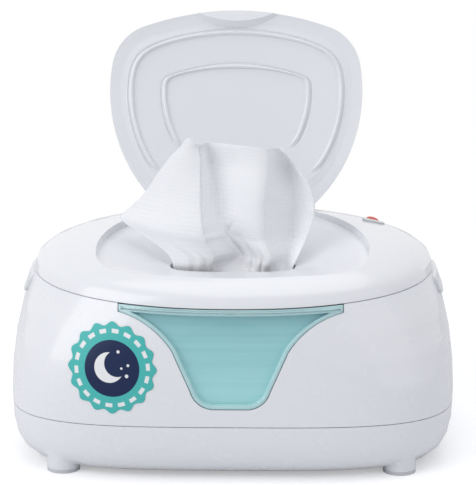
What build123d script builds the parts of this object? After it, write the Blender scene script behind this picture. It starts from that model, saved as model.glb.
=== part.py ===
"""Baby wipe warmer: a rounded tub with a base tray, a hinged top cover and a flip lid over the slot.

Frame: X to the right, Y to the rear, Z up, origin on the ground under the middle of the casing.
The casing, cover and flip lid are all cut from one moulded outer form, so their faces run through
from one to the next. The flip lid is built closed and then turned open about its own hinge.
"""
from build123d import *
from build123d.topology import SkipClean
import math
import os

# ---- driving sizes, in millimetres and degrees --------------------------------------------------
# outer form
OVERALL_WIDTH = 234.0
OVERALL_DEPTH = 168.0
GROUND_GAP = 2.0
WIDEST_HEIGHT = 35.0
FLOOR_CURL = 24.0
BASE_SQUARENESS = 3.7
TOP_SEAM_HEIGHT = 96.5
TOP_SEAM_WIDTH = 212.0
TOP_SEAM_DEPTH = 161.0
TOP_SEAM_TILT = 3.8
SEAM_SQUARENESS = 2.2
SHOULDER_POWER = 2.4
DOME_RISE = 18.5
DOME_POWER = 2.3
WALL = 2.5
BASE_SEAM_HEIGHT = 30.4
SEAM_GAP = 0.4
FIT = 0.3

# base tray
LIP_HEIGHT = 3.2
LIP_THICK = 1.5
FOOT_X = 87.0
FOOT_Y = 60.0
FOOT_D = 17.0
FOOT_PEG_D = 7.4
FOOT_PEG = 1.2
TOWER_D = 11.0
POST_D = 9.0
POST_LENGTH = 16.0
SCREW_D = 3.0
SCREW_HEAD_D = 5.6
SCREW_HEAD = 2.0
SCREW_LENGTH = 24.0
SCREW_HEAD_HEIGHT = 14.0
VENT_LENGTH = 26.0
VENT_WIDTH = 2.4
VENT_PITCH = 7.0
VENT_COUNT = 6

# tub, wipes and heater stack
TUB_FLOOR_HEIGHT = 30.0
TUB_WALL = 1.8
TUB_FLOOR = 2.0
TUB_WIDTH = 186.0
TUB_DEPTH = 128.0
TUB_DRAFT = 3.0
TUB_SQUARENESS = 5.0
TUB_RIM_WIDTH = 197.0
TUB_RIM_DEPTH = 146.0
RIM_SQUARENESS = 2.3
TUB_FLANGE = 2.0
FLANGE_DROP = 1.4
LEDGE = 2.4
STACK_WIDTH = 166.0
STACK_DEPTH = 96.0
STACK_HEIGHT = 44.0
STACK_CORNER = 18.0
HEATER_WIDTH = 150.0
HEATER_DEPTH = 86.0
HEATER_PLATE = 2.0
ELEMENT_THICK = 0.8
ELEMENT_BAR = 7.0
ELEMENT_PITCH = 14.0
PAD_THICK = 6.0
PILLAR_D = 8.0

# electronics in the tray
BOARD_WIDTH = 78.0
BOARD_DEPTH = 44.0
BOARD_THICK = 1.6
BOARD_HEIGHT = 9.5
BOARD_Y = -14.0
STANDOFF_D = 5.0
JACK_X = 58.0
JACK_HEIGHT = 20.0
JACK_WIDTH = 10.0
JACK_LENGTH = 14.0
JACK_BORE_D = 6.4
JACK_PIN_D = 2.0
JACK_SETBACK = 1.2
LED_BOARD_WIDTH = 64.0
LED_BOARD_DEPTH = 7.0
LED_BOARD_HEIGHT = 32.5
LED_SETBACK = 11.5
GUIDE_HEIGHT = 3.6

# front window
WINDOW_HALF_WIDTH = 57.0
WINDOW_EDGE_DROP = 87.6
WINDOW_BOTTOM = 39.6
WINDOW_NECK_HALF = 29.3
WINDOW_NECK_HEIGHT = 69.3
WINDOW_FOOT_HALF = 20.3
WINDOW_FOOT_HEIGHT = 49.0
WINDOW_BASE_HALF = 8.5
WINDOW_RIM = 1.9
WINDOW_TOP_LEDGE = 3.0
WINDOW_DISH = 3.0
WINDOW_PANEL = 2.2
WINDOW_FLANGE = 3.0

# sticker
BADGE_X = -60.5
BADGE_HEIGHT = 60.0
BADGE_RADIUS = 23.0
BADGE_LOBES = 16
BADGE_SCALLOP = 1.9
BADGE_THICK = 0.4
BADGE_TURN = 9.0

# side latches
LATCH_LENGTH = 38.0
LATCH_LOW = 84.0
LATCH_HIGH = 94.0
LATCH_PROUD = 1.5
LATCH_FLANGE = 2.4
LATCH_FLANGE_THICK = 1.4
LATCH_SEAM_DROP = 0.4
SPRING_LENGTH = 24.0
SPRING_HEIGHT = 6.0
SPRING_BOW = 6.6
SPRING_THICK = 0.6

# cover hinge
COVER_HINGE_Y = 80.6
COVER_HINGE_HEIGHT = 103.0
KNUCKLE_D = 6.4
HINGE_PIN_D = 2.6
HINGE_X = 16.0
KNUCKLE_LENGTH = 9.0
KNUCKLE_GAP = 0.4
PIN_CLEARANCE = 0.06

# flip lid and its recess
LID_HINGE_Y = 47.0
LID_HINGE_DROP = 2.6
LID_LENGTH = 112.0
LID_HALF_WIDTH = 70.3
LID_WIDEST = 67.5
LID_SIDE_RADIUS = 87.0
LID_FRONT_RADIUS = 150.0
LID_FRONT_CORNER = 27.0
LID_REAR_CORNER = 5.0
LID_REAR_SETBACK = 3.5
LID_THICK = 2.6
LID_OPEN_ANGLE = 111.8
LID_CLEARANCE = 1.4
RECESS_DEPTH = 4.2
WELL_WALL = 2.4
LID_LUG_X = 33.0
LID_LUG_WIDTH = 7.0
LID_KNUCKLE_D = 5.0
LID_PIN_D = 2.0
RIB_WIDTH = 2.6
RIB_HEIGHT = 1.0
RIB_INSETS = (11.9, 30.3)
RIB_SETBACKS = (24.0, 38.0)
LINER_THICK = 0.8
LINER_INSET = 6.0
TAB_HALF_WIDTH = 21.0
TAB_DEPTH = 6.0
TAB_SLOPE = 4.6
TAB_HEIGHT = 3.6

# dispensing slot and the wipe in it
SLOT_WIDTH = 66.0
SLOT_DEPTH = 27.0
SLOT_Y = -19.0
SLOT_SQUARENESS = 2.8
SLOT_HEIGHT = 97.0
SLOT_NECK = 1.6
SLOT_SKIRT = 1.0
MOUTH_BLEND = 14.0
WIPE_THICK = 13.0
WIPE_TOP = 161.0
WIPE_SPREAD = 96.0

# cover lining, seal and light switch
LINING_DROP = 0.4
LINING_THICK = 1.4
GASKET_WIDTH = 3.0
BUTTON_X = 76.0
BUTTON_Y = 34.0
BUTTON_LENGTH = 12.0
BUTTON_WIDTH = 7.0
BUTTON_PROUD = 0.8
BUTTON_TRAVEL = 0.8
SWITCH_BOARD_THICK = 0.8
SWITCH_HEIGHT = 0.6
LENS_OFFSET = 9.8
LENS_LENGTH = 7.0
LENS_WIDTH = 3.0

# ---- values worked out from the driving sizes -----------------------------------------------------
BIG = 3.0 * OVERALL_WIDTH
RING_POINTS = 48
LED_Y = LED_SETBACK - OVERALL_DEPTH / 2
SEAM_PLANE = Plane(
    origin=(0, 0, TOP_SEAM_HEIGHT),
    x_dir=(1, 0, 0),
    z_dir=(0, -math.sin(math.radians(TOP_SEAM_TILT)), math.cos(math.radians(TOP_SEAM_TILT))),
)


def superellipse_point(half_width, half_depth, squareness, angle):
    """Point where the ray at the given angle meets |x/a|^n + |y/b|^n = 1."""
    c, s = math.cos(angle), math.sin(angle)
    reach = (abs(c) / half_width) ** squareness + (abs(s) / half_depth) ** squareness
    radius = reach ** (-1.0 / squareness)
    return radius * c, radius * s


def closed_spline(points):
    """Smooth closed wire through the points, evenly parametrised so that wires loft cleanly together."""
    count = len(points)
    stations = [k / count for k in range(count + 1)]
    return Wire([Edge.make_spline(points, periodic=True, parameters=stations)])


def ring(half_width, half_depth, squareness, height, tilt=0.0, y_mid=0.0):
    """Superellipse wire at a height, leaning up towards the rear by the tilt."""
    slope = math.radians(tilt)
    points = []
    for k in range(RING_POINTS):
        x, y = superellipse_point(half_width, half_depth, squareness, 2 * math.pi * k / RING_POINTS)
        points.append(Vector(x, y_mid + y * math.cos(slope), height + y * math.sin(slope)))
    return closed_spline(points)


def seam_ring(half_width, half_depth, squareness, rise):
    """Superellipse wire in the seam's plane, raised square to it."""
    slope = math.radians(TOP_SEAM_TILT)
    wire = ring(half_width, half_depth, squareness, TOP_SEAM_HEIGHT, TOP_SEAM_TILT)
    return wire.translate(Vector(0, -rise * math.sin(slope), rise * math.cos(slope)))


def profile_rows():
    """Rows (half width, half depth, squareness, height, tilt) from the floor to the crown.

    The floor curl is a quarter of |s|^3 + |t|^3 = 1, the wall eases in by a power of the height,
    and the dome is a quarter of |s|^p + |t|^p = 1 on the seam's ring.
    """
    half_w, half_d = OVERALL_WIDTH / 2, OVERALL_DEPTH / 2
    rows = []
    for degrees in (90, 75, 60, 45, 30, 15, 0):
        drop = math.sin(math.radians(degrees)) ** (2 / 3)
        inset = FLOOR_CURL * (1 - math.cos(math.radians(degrees)) ** (2 / 3))
        height = WIDEST_HEIGHT - (WIDEST_HEIGHT - GROUND_GAP) * drop
        rows.append((half_w - inset, half_d - inset, BASE_SQUARENESS, height, 0.0))
    for share in (0.25, 0.5, 0.75, 1.0):
        ease = share ** SHOULDER_POWER
        rows.append((
            half_w - (half_w - TOP_SEAM_WIDTH / 2) * ease,
            half_d - (half_d - TOP_SEAM_DEPTH / 2) * ease,
            BASE_SQUARENESS + (SEAM_SQUARENESS - BASE_SQUARENESS) * share ** 1.3,
            WIDEST_HEIGHT + (TOP_SEAM_HEIGHT - WIDEST_HEIGHT) * share,
            TOP_SEAM_TILT * share,
        ))
    for degrees in (10, 20, 30, 40, 50, 60, 70, 78, 84, 88):
        spread = math.cos(math.radians(degrees)) ** (2 / DOME_POWER)
        rise = math.sin(math.radians(degrees)) ** (2 / DOME_POWER)
        rows.append((
            TOP_SEAM_WIDTH / 2 * spread,
            TOP_SEAM_DEPTH / 2 * spread,
            SEAM_SQUARENESS,
            TOP_SEAM_HEIGHT + DOME_RISE * rise,
            TOP_SEAM_TILT,
        ))
    return rows


ZONES = {"floor": (0, 8), "wall": (5, 12), "dome": (9, 21)}
ENVELOPES = {}


def envelope(inset, zone):
    """Solid of one zone of the outer form, pulled in square to its side profile by the inset.

    The floor zone serves the tray, the wall zone the middle casing and the dome zone the cover and lid.
    Each zone runs past its seam on both sides.
    """
    if (inset, zone) in ENVELOPES:
        return ENVELOPES[inset, zone]
    rows = profile_rows()
    wires = []
    first, stop = ZONES[zone]
    for k in range(first, stop):
        half_w, half_d, squareness, height, tilt = rows[k]
        before, after = rows[max(k - 1, 0)], rows[min(k + 1, len(rows) - 1)]
        run, rise = after[0] - before[0], after[3] - before[3]
        if k == 0:
            run, rise = 1.0, 0.0
        if k == len(rows) - 1:
            run, rise = -1.0, 0.0
        length = math.hypot(run, rise)
        side, up = rise / length, -run / length
        half_w, half_d = half_w - inset * side, half_d - inset * side
        wires.append(ring(half_w, half_d, squareness, height - inset * up, tilt))
    ENVELOPES[inset, zone] = Solid.make_loft(wires, ruled=True)
    return ENVELOPES[inset, zone]


def below(height):
    """Everything under a level height."""
    return Pos(0, 0, height) * Box(BIG, BIG, BIG, align=(Align.CENTER, Align.CENTER, Align.MAX))


def above(height):
    """Everything over a level height."""
    return Pos(0, 0, height) * Box(BIG, BIG, BIG, align=(Align.CENTER, Align.CENTER, Align.MIN))


def under_seam(rise=0.0):
    """Everything under the seam's plane raised by rise."""
    block = Box(BIG, BIG, BIG, align=(Align.CENTER, Align.CENTER, Align.MAX))
    return SEAM_PLANE.offset(rise).location * block


def over_seam(rise=0.0):
    """Everything over the seam's plane raised by rise."""
    block = Box(BIG, BIG, BIG, align=(Align.CENTER, Align.CENTER, Align.MIN))
    return SEAM_PLANE.offset(rise).location * block


def cylinder(x, y, z, diameter, length, direction=(0, 0, 1)):
    """Cylinder from a point along a direction."""
    return Solid.make_cylinder(diameter / 2, length, Plane(origin=(x, y, z), z_dir=direction))


def block(low, high):
    """Box between two corners."""
    size = [b - a for a, b in zip(low, high)]
    middle = [(a + b) / 2 for a, b in zip(low, high)]
    return Pos(*middle) * Box(*size)


def corners(x, y):
    """The four mirror places of a point."""
    return [(sx * x, sy * y) for sx in (-1, 1) for sy in (-1, 1)]


def dome_height(x, y):
    """Height of the outer form's dome over a point of the plan."""
    slope = math.tan(math.radians(TOP_SEAM_TILT))
    across = (abs(x) * 2 / TOP_SEAM_WIDTH) ** SEAM_SQUARENESS
    along = (abs(y) * 2 / TOP_SEAM_DEPTH) ** SEAM_SQUARENESS
    share = min(1.0, (across + along) ** (1 / SEAM_SQUARENESS))
    return TOP_SEAM_HEIGHT + y * slope + DOME_RISE * (1 - share ** DOME_POWER) ** (1 / DOME_POWER)


LID_HINGE_HEIGHT = dome_height(0, LID_HINGE_Y) - LID_HINGE_DROP
LID_HINGE = Axis((0, LID_HINGE_Y, LID_HINGE_HEIGHT), (1, 0, 0))
LID_FRONT_Y = LID_HINGE_Y - LID_LENGTH


def lid_outline(grow):
    """Plan of the flip lid: three arcs and a straight rear edge, all moved out by grow."""
    side = LID_SIDE_RADIUS + grow
    side_x = LID_SIDE_RADIUS - LID_HALF_WIDTH
    side_y = LID_HINGE_Y - LID_WIDEST
    front_y = LID_FRONT_Y + LID_FRONT_RADIUS
    rear_y = LID_HINGE_Y - LID_REAR_SETBACK + grow
    shape = Pos(-side_x, side_y) * Circle(side)
    shape = shape & (Pos(side_x, side_y) * Circle(side))
    shape = shape & (Pos(0, front_y) * Circle(LID_FRONT_RADIUS + grow))
    shape = shape & (Pos(0, rear_y) * Rectangle(BIG, BIG, align=(Align.CENTER, Align.MAX)))
    ends = shape.vertices().sort_by(Axis.Y)
    shape = fillet(ends[:2], max(LID_FRONT_CORNER + grow, 1.0))
    ends = shape.vertices().sort_by(Axis.Y)
    return fillet(ends[-2:], max(LID_REAR_CORNER + grow, 1.0))


def column(sketch, low, high):
    """Upright prism of a plan sketch between two heights."""
    return extrude(Pos(0, 0, low) * sketch, amount=high - low)


def tilted_floor_plane(drop):
    """Plane of the recess rim: through the dome at the lid's front and rear edges, lowered by drop."""
    rear_y = LID_HINGE_Y - LID_REAR_SETBACK
    front_z, rear_z = dome_height(0, LID_FRONT_Y), dome_height(0, rear_y)
    slope = math.atan2(rear_z - front_z, rear_y - LID_FRONT_Y)
    return Plane(
        origin=(0, LID_FRONT_Y, front_z - drop),
        x_dir=(1, 0, 0),
        z_dir=(0, -math.sin(slope), math.cos(slope)),
    )


# ---- casing -------------------------------------------------------------------------------------------
def make_base_tray():
    """Shallow lower shell with a lip, foot pads, screw towers, standoffs, pillars and vents."""
    seam_low = BASE_SEAM_HEIGHT - SEAM_GAP / 2
    tray = (envelope(0, "floor") & below(seam_low)) - envelope(WALL, "floor")
    lip = (envelope(WALL + FIT, "floor") & below(BASE_SEAM_HEIGHT + LIP_HEIGHT)) + (
        envelope(WALL / 2, "floor") & below(seam_low)
    )
    lip = (lip & above(BASE_SEAM_HEIGHT - 2 * LIP_HEIGHT)) - envelope(WALL + FIT + LIP_THICK, "floor")
    tray = tray + lip
    floor_top = GROUND_GAP + WALL
    inside = envelope(WALL / 2, "floor")
    for x, y in corners(FOOT_X, FOOT_Y):
        tray = tray + (cylinder(x, y, GROUND_GAP, TOWER_D, seam_low - GROUND_GAP) & inside)
        tray = tray + cylinder(x, y, GROUND_GAP, FOOT_D, SCREW_HEAD_HEIGHT - GROUND_GAP)
    for x, y in corners(FOOT_X, FOOT_Y):
        tray = tray - cylinder(x, y, 0, SCREW_D + 2 * FIT, BIG)
        tray = tray - cylinder(x, y, 0, FOOT_PEG_D + 2 * PIN_CLEARANCE, SCREW_HEAD_HEIGHT)
    pillar_top = TUB_FLOOR_HEIGHT - HEATER_PLATE - ELEMENT_THICK - PAD_THICK
    for x, y in corners(HEATER_WIDTH / 2 - PILLAR_D, HEATER_DEPTH / 2 - PILLAR_D):
        tray = tray + cylinder(x, y, floor_top - WALL / 2, PILLAR_D, pillar_top - floor_top + WALL / 2)
    for x, y in corners(BOARD_WIDTH / 2 - STANDOFF_D, BOARD_DEPTH / 2 - STANDOFF_D):
        y = y + BOARD_Y
        tray = tray + cylinder(x, y, floor_top - WALL / 2, STANDOFF_D, BOARD_HEIGHT - floor_top + WALL / 2)
    for side in (-1, 1):
        x = side * (LED_BOARD_WIDTH / 2 - STANDOFF_D)
        led_post = cylinder(x, LED_Y, GROUND_GAP, STANDOFF_D, LED_BOARD_HEIGHT - GROUND_GAP)
        tray = tray + (led_post & inside)
    for k in range(VENT_COUNT):
        y = (k - (VENT_COUNT - 1) / 2) * VENT_PITCH + OVERALL_DEPTH / 5
        slot = Pos(0, y, 0) * SlotOverall(VENT_LENGTH, VENT_WIDTH)
        tray = tray - extrude(slot, amount=floor_top + 1)
    tray = tray - cylinder(JACK_X, 0, JACK_HEIGHT, JACK_BORE_D + 2, BIG, (0, 1, 0))
    cradle_low = (JACK_X - JACK_WIDTH / 2 - WALL, jack_front_y(), floor_top - WALL / 2)
    cradle_high = (JACK_X + JACK_WIDTH / 2 + WALL, jack_front_y() + JACK_LENGTH, JACK_HEIGHT - 1)
    pocket_low = (JACK_X - JACK_WIDTH / 2 - PIN_CLEARANCE, 0, JACK_HEIGHT - JACK_WIDTH / 2)
    pocket_high = (JACK_X + JACK_WIDTH / 2 + PIN_CLEARANCE, jack_front_y() + JACK_LENGTH, BIG)
    cradle = block(cradle_low, cradle_high) - block(pocket_low, pocket_high)
    return tray + (cradle & envelope(WALL / 2, "floor"))


def jack_front_y():
    """Inner end of the power inlet, whose mouth stands just inside the rear wall."""
    share = (JACK_X / (OVERALL_WIDTH / 2)) ** BASE_SQUARENESS
    wall_y = (OVERALL_DEPTH / 2 - FLOOR_CURL * 0.1) * (1 - share) ** (1 / BASE_SQUARENESS)
    return wall_y - WALL - JACK_SETBACK - JACK_LENGTH


def make_feet():
    """Four rubber feet, each with a peg that plugs its screw hole."""
    feet = []
    for x, y in corners(FOOT_X, FOOT_Y):
        peg = cylinder(x, y, 0, FOOT_PEG_D, GROUND_GAP + FOOT_PEG)
        feet.append(cylinder(x, y, 0, FOOT_D, GROUND_GAP) + peg)
    return feet


def make_screws():
    """Four pan-head screws that pull the casing down on the tray."""
    screws = []
    for x, y in corners(FOOT_X, FOOT_Y):
        head = cylinder(x, y, SCREW_HEAD_HEIGHT - SCREW_HEAD, SCREW_HEAD_D, SCREW_HEAD)
        shank = cylinder(x, y, SCREW_HEAD_HEIGHT - SCREW_HEAD, SCREW_D, SCREW_LENGTH)
        slot_top = SCREW_HEAD_HEIGHT - SCREW_HEAD / 2
        slot = block((x - SCREW_HEAD_D, y - 0.4, 0), (x + SCREW_HEAD_D, y + 0.4, slot_top))
        screws.append(head + shank - slot)
    return screws


def window_outline(shrink):
    """Front view of the window: a flared top that runs down in two S-curves to a short base."""
    top = TOP_SEAM_HEIGHT + 10
    half, drop = WINDOW_HALF_WIDTH - shrink, WINDOW_EDGE_DROP + shrink * 0.6
    neck = (WINDOW_NECK_HALF - shrink, WINDOW_NECK_HEIGHT - shrink * 0.2)
    foot = (WINDOW_FOOT_HALF - shrink, WINDOW_FOOT_HEIGHT + shrink * 0.3)
    base = (WINDOW_BASE_HALF - shrink * 0.4, WINDOW_BOTTOM + shrink)
    flare = (half * 0.70, neck[1] + (drop - neck[1]) * 0.62)
    turn = (base[0] + (foot[0] - base[0]) * 0.68, base[1] + (foot[1] - base[1]) * 0.34)
    edges = []
    for side in (1, -1):
        brow, edge, bend, waist, knee, curve, sole = [
            (side * x, z) for x, z in ((half, top), (half, drop), flare, neck, foot, turn, base)
        ]
        edges.append(Line(brow, edge))
        edges.append(ThreePointArc(edge, bend, waist))
        edges.append(Line(waist, knee))
        edges.append(ThreePointArc(knee, curve, sole))
    edges.append(Line((-half, top), (half, top)))
    edges.append(Line((-base[0], base[1]), (base[0], base[1])))
    return make_face(edges)


def window_column(shrink):
    """Window outline carried front to back through the front wall only."""
    return extrude(Plane.XZ * window_outline(shrink), amount=OVERALL_DEPTH)


def make_window():
    """Translucent front moulding: a flush rim, a ledge along the top and a dished panel."""
    body = envelope(0, "wall") & window_column(FIT) & above(BASE_SEAM_HEIGHT)
    body = (body & under_seam(-SEAM_GAP / 2)) - envelope(WINDOW_DISH + WINDOW_PANEL, "wall")
    dish = (window_column(FIT + WINDOW_RIM) & under_seam(-WINDOW_TOP_LEDGE)) - envelope(WINDOW_DISH, "wall")
    flange = window_column(-WINDOW_FLANGE) & envelope(WALL + PIN_CLEARANCE, "wall") & above(BASE_SEAM_HEIGHT)
    flange = (flange & under_seam(-FLANGE_DROP - TUB_FLANGE - LEDGE - FIT)) - envelope(WINDOW_DISH, "wall")
    return body + flange - dish


def latch_column(side, grow):
    """Side view of a latch button carried along X through one side wall."""
    height, middle = LATCH_HIGH - LATCH_LOW, (LATCH_HIGH + LATCH_LOW) / 2
    face = RectangleRounded(LATCH_LENGTH + 2 * grow, height + 2 * grow, height / 3)
    shape = extrude(Plane.YZ * face, amount=OVERALL_WIDTH)
    shape = Pos(0, 0, middle) * shape
    return shape if side > 0 else mirror(shape, Plane.YZ)


def hinge_spans(own):
    """X ranges of the cover's knuckles if own is 'cover', else of the casing's knuckles."""
    spans = []
    for middle in (-HINGE_X, HINGE_X):
        half = KNUCKLE_LENGTH / 2
        if own == "cover":
            spans.append((middle - half, middle + half))
        else:
            spans.append((middle - half - KNUCKLE_GAP - KNUCKLE_LENGTH / 2, middle - half - KNUCKLE_GAP))
            spans.append((middle + half + KNUCKLE_GAP, middle + half + KNUCKLE_GAP + KNUCKLE_LENGTH / 2))
    return spans


def hinge_barrel(span, diameter, extra=0.0):
    """Cylinder on the cover's hinge axis between two X values."""
    low, high = span[0] - extra, span[1] + extra
    return cylinder(low, COVER_HINGE_Y, COVER_HINGE_HEIGHT, diameter, high - low, (1, 0, 0))


def make_body_shell():
    """Middle casing with the window cut, latch holes, tub ledge, screw posts and rear hinge knuckles."""
    band = above(BASE_SEAM_HEIGHT + SEAM_GAP / 2) & under_seam(-SEAM_GAP / 2)
    shell = (envelope(0, "wall") & band) - envelope(WALL, "wall")
    ledge_top = -FLANGE_DROP - TUB_FLANGE
    ledge = (envelope(WALL / 2, "wall") & under_seam(ledge_top)) - under_seam(ledge_top - LEDGE)
    hole_half_w, hole_half_d = TUB_RIM_WIDTH / 2 - TUB_WALL + 2.2, TUB_RIM_DEPTH / 2 - TUB_WALL + 0.2
    hole = Solid.make_loft([
        seam_ring(hole_half_w, hole_half_d, RIM_SQUARENESS, rise) for rise in (10, -30)
    ])
    ledge = ledge - hole
    for side in (-1, 1):
        room = block((0, -LATCH_LENGTH / 2 - 6, 0), (BIG, LATCH_LENGTH / 2 + 6, BIG))
        clear = Pos(TUB_RIM_WIDTH / 2 - 2, 0, 0) * room
        ledge = ledge - (clear if side > 0 else mirror(clear, Plane.YZ))
    shell = shell + ledge
    post_low = BASE_SEAM_HEIGHT + SEAM_GAP / 2
    for x, y in corners(FOOT_X, FOOT_Y):
        post = cylinder(x, y, post_low, POST_D, POST_LENGTH)
        reach = OVERALL_DEPTH / 2 * (1 if y > 0 else -1)
        web = block(
            (x - LIP_THICK / 2, min(y, reach), BASE_SEAM_HEIGHT + LIP_HEIGHT + 1),
            (x + LIP_THICK / 2, max(y, reach), post_low + POST_LENGTH),
        )
        shell = shell + post + (web & envelope(WALL / 2, "wall"))
        shell = shell - cylinder(x, y, post_low - 1, SCREW_D + PIN_CLEARANCE, POST_LENGTH - 1)
    shell = shell - window_column(0)
    for side in (-1, 1):
        shell = shell - latch_column(side, FIT)
    for span in hinge_spans("casing"):
        low = COVER_HINGE_HEIGHT - 1.5 * KNUCKLE_LENGTH
        web = block((span[0], COVER_HINGE_Y - 2.2, low), (span[1], COVER_HINGE_Y + 2.6, COVER_HINGE_HEIGHT))
        web = (web & envelope(-KNUCKLE_D / 2, "wall")) - envelope(WALL / 2, "wall")
        shell = shell + web + hinge_barrel(span, KNUCKLE_D)
        shell = shell - hinge_barrel(span, HINGE_PIN_D + 2 * PIN_CLEARANCE, 1)
    for span in hinge_spans("cover"):
        shell = shell - hinge_barrel(span, KNUCKLE_D + 2 * FIT + 0.4, KNUCKLE_GAP)
    return shell


def make_badge():
    """Thin scalloped sticker that follows the casing's front left face."""
    edges = []
    for k in range(BADGE_LOBES):
        stops = []
        for step in (-0.5, 0, 0.5):
            radius = BADGE_RADIUS - 2 * BADGE_SCALLOP * abs(step)
            angle = 2 * math.pi * (k + step) / BADGE_LOBES
            stops.append((radius * math.cos(angle), radius * math.sin(angle)))
        edges.append(ThreePointArc(*stops))
    shape = make_face(edges)
    plane = Plane.XZ.rotated((0, 0, -BADGE_TURN))
    front = (BADGE_X, -OVERALL_DEPTH / 2, BADGE_HEIGHT)
    facing = Plane(origin=front, x_dir=plane.x_dir, z_dir=plane.z_dir)
    column_shape = extrude(facing * shape, amount=-OVERALL_DEPTH / 2)
    return (column_shape & envelope(-BADGE_THICK, "wall")) - envelope(-PIN_CLEARANCE, "wall")


def make_latch(side):
    """Latch button with the flange that keeps it in its hole."""
    pad = latch_column(side, 0) & envelope(-LATCH_PROUD, "wall")
    flange = latch_column(side, LATCH_FLANGE) & envelope(WALL + FIT, "wall")
    latch = pad + (flange & under_seam(-FLANGE_DROP - LATCH_SEAM_DROP))
    return latch - envelope(WALL + FIT + LATCH_FLANGE_THICK, "wall")


def make_latch_spring(side):
    """Bowed leaf spring behind a latch, relaxed, its tips clear of the tub by more than the travel."""
    high = (LATCH_HIGH + LATCH_LOW) / 2 + SPRING_HEIGHT / 3
    share = (high - WIDEST_HEIGHT) / (TOP_SEAM_HEIGHT - WIDEST_HEIGHT)
    draw_in = (OVERALL_WIDTH - TOP_SEAM_WIDTH) / 2
    casing_x = OVERALL_WIDTH / 2 - draw_in * share ** SHOULDER_POWER
    slope = draw_in * SHOULDER_POWER * share ** (SHOULDER_POWER - 1) / (TOP_SEAM_HEIGHT - WIDEST_HEIGHT)
    crown_x = casing_x - math.hypot(1, slope) * (WALL + FIT + LATCH_FLANGE_THICK) - FIT
    tip_x = crown_x - SPRING_BOW
    half = SPRING_LENGTH / 2
    outer_tip, inner_tip = tip_x, tip_x - SPRING_THICK
    strip = make_face([
        ThreePointArc((outer_tip, -half), (crown_x, 0), (outer_tip, half)),
        Line((outer_tip, half), (inner_tip, half)),
        ThreePointArc((inner_tip, half), (crown_x - SPRING_THICK, 0), (inner_tip, -half)),
        Line((inner_tip, -half), (outer_tip, -half)),
    ])
    spring = column(strip, high - SPRING_HEIGHT, high)
    return spring if side > 0 else mirror(spring, Plane.YZ)


# ---- tub, wipes, heater and electronics ----------------------------------------------------------------
def tub_form(inset):
    """Tapered tub, with the top ring in the seam's plane."""
    low = TUB_FLOOR_HEIGHT + (TUB_FLOOR if inset else 0)
    top = 1.0 if inset else 0.0
    half_w, half_d = TUB_WIDTH / 2 - inset, TUB_DEPTH / 2 - inset
    return Solid.make_loft([
        ring(half_w - TUB_DRAFT - 3, half_d - TUB_DRAFT - 3, TUB_SQUARENESS, low),
        ring(half_w - TUB_DRAFT, half_d - TUB_DRAFT, TUB_SQUARENESS, low + 5),
        ring(half_w, half_d, TUB_SQUARENESS, (low + TOP_SEAM_HEIGHT) / 2 - 4, TOP_SEAM_TILT / 2),
        seam_ring(TUB_RIM_WIDTH / 2 - 4.6 - inset, TUB_RIM_DEPTH / 2 - 3.4 - inset, RIM_SQUARENESS,
                  -FLANGE_DROP + top),
    ])


def make_wipe_tub():
    """Thin tub that holds the wipes, hung by its flange on the casing's ledge."""
    half_w, half_d = TUB_RIM_WIDTH / 2 + 3.0, TUB_RIM_DEPTH / 2 + 1.2
    flange = Solid.make_loft([
        seam_ring(half_w, half_d, RIM_SQUARENESS, -FLANGE_DROP - TUB_FLANGE),
        seam_ring(half_w, half_d, RIM_SQUARENESS, -FLANGE_DROP),
    ])
    for side in (-1, 1):
        room = block((TUB_RIM_WIDTH / 2 - 2.4, -LATCH_LENGTH / 2 - 5, 0), (BIG, LATCH_LENGTH / 2 + 5, BIG))
        flange = flange - (room if side > 0 else mirror(room, Plane.YZ))
    return tub_form(0) + flange - tub_form(TUB_WALL)


def make_wipe_stack():
    """Folded stack of wipes in the tub, its edges slightly rounded."""
    plan = RectangleRounded(STACK_WIDTH, STACK_DEPTH, STACK_CORNER)
    stack = column(plan, TUB_FLOOR_HEIGHT + TUB_FLOOR, TUB_FLOOR_HEIGHT + TUB_FLOOR + STACK_HEIGHT)
    top = stack.faces().sort_by(Axis.Z)[-1]
    return fillet(top.edges(), 3.0)


def make_heater_plate():
    """Aluminium plate that spreads the heat under the tub floor."""
    plan = RectangleRounded(HEATER_WIDTH, HEATER_DEPTH, 10)
    return column(plan, TUB_FLOOR_HEIGHT - HEATER_PLATE, TUB_FLOOR_HEIGHT)


def make_heating_element():
    """Flat serpentine foil under the heater plate: long bars joined end to end."""
    low = TUB_FLOOR_HEIGHT - HEATER_PLATE - ELEMENT_THICK
    high = low + ELEMENT_THICK
    rows = int((HEATER_DEPTH - 14) / ELEMENT_PITCH)
    half = HEATER_WIDTH / 2 - 10
    element = None
    for k in range(rows):
        y = (k - (rows - 1) / 2) * ELEMENT_PITCH
        bar = block((-half, y - ELEMENT_BAR / 2, low), (half, y + ELEMENT_BAR / 2, high))
        element = bar if element is None else element + bar
        if k < rows - 1:
            end = half if k % 2 == 0 else -half
            inner = end - ELEMENT_BAR if end > 0 else end + ELEMENT_BAR
            element = element + block(
                (min(end, inner), y, low),
                (max(end, inner), y + ELEMENT_PITCH, high),
            )
    return element


def make_insulation_pad():
    """Foam pad that holds the element against the plate, resting on the tray's pillars."""
    high = TUB_FLOOR_HEIGHT - HEATER_PLATE - ELEMENT_THICK
    plan = RectangleRounded(HEATER_WIDTH, HEATER_DEPTH, 10)
    pad = column(plan, high - PAD_THICK, high)
    return pad - cylinder(20, 0, 0, 14, BIG) - cylinder(-20, 0, 0, 9, BIG)


def make_thermostat():
    """Disc thermostat under the element, with its flange and two blade terminals."""
    high = TUB_FLOOR_HEIGHT - HEATER_PLATE - ELEMENT_THICK
    disc = cylinder(20, 0, high - 7, 12, 7)
    for side in (-1, 1):
        disc = disc + block((20 + side * 3 - 0.4, -1.5, high - 11), (20 + side * 3 + 0.4, 1.5, high - 7))
    return disc


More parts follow.
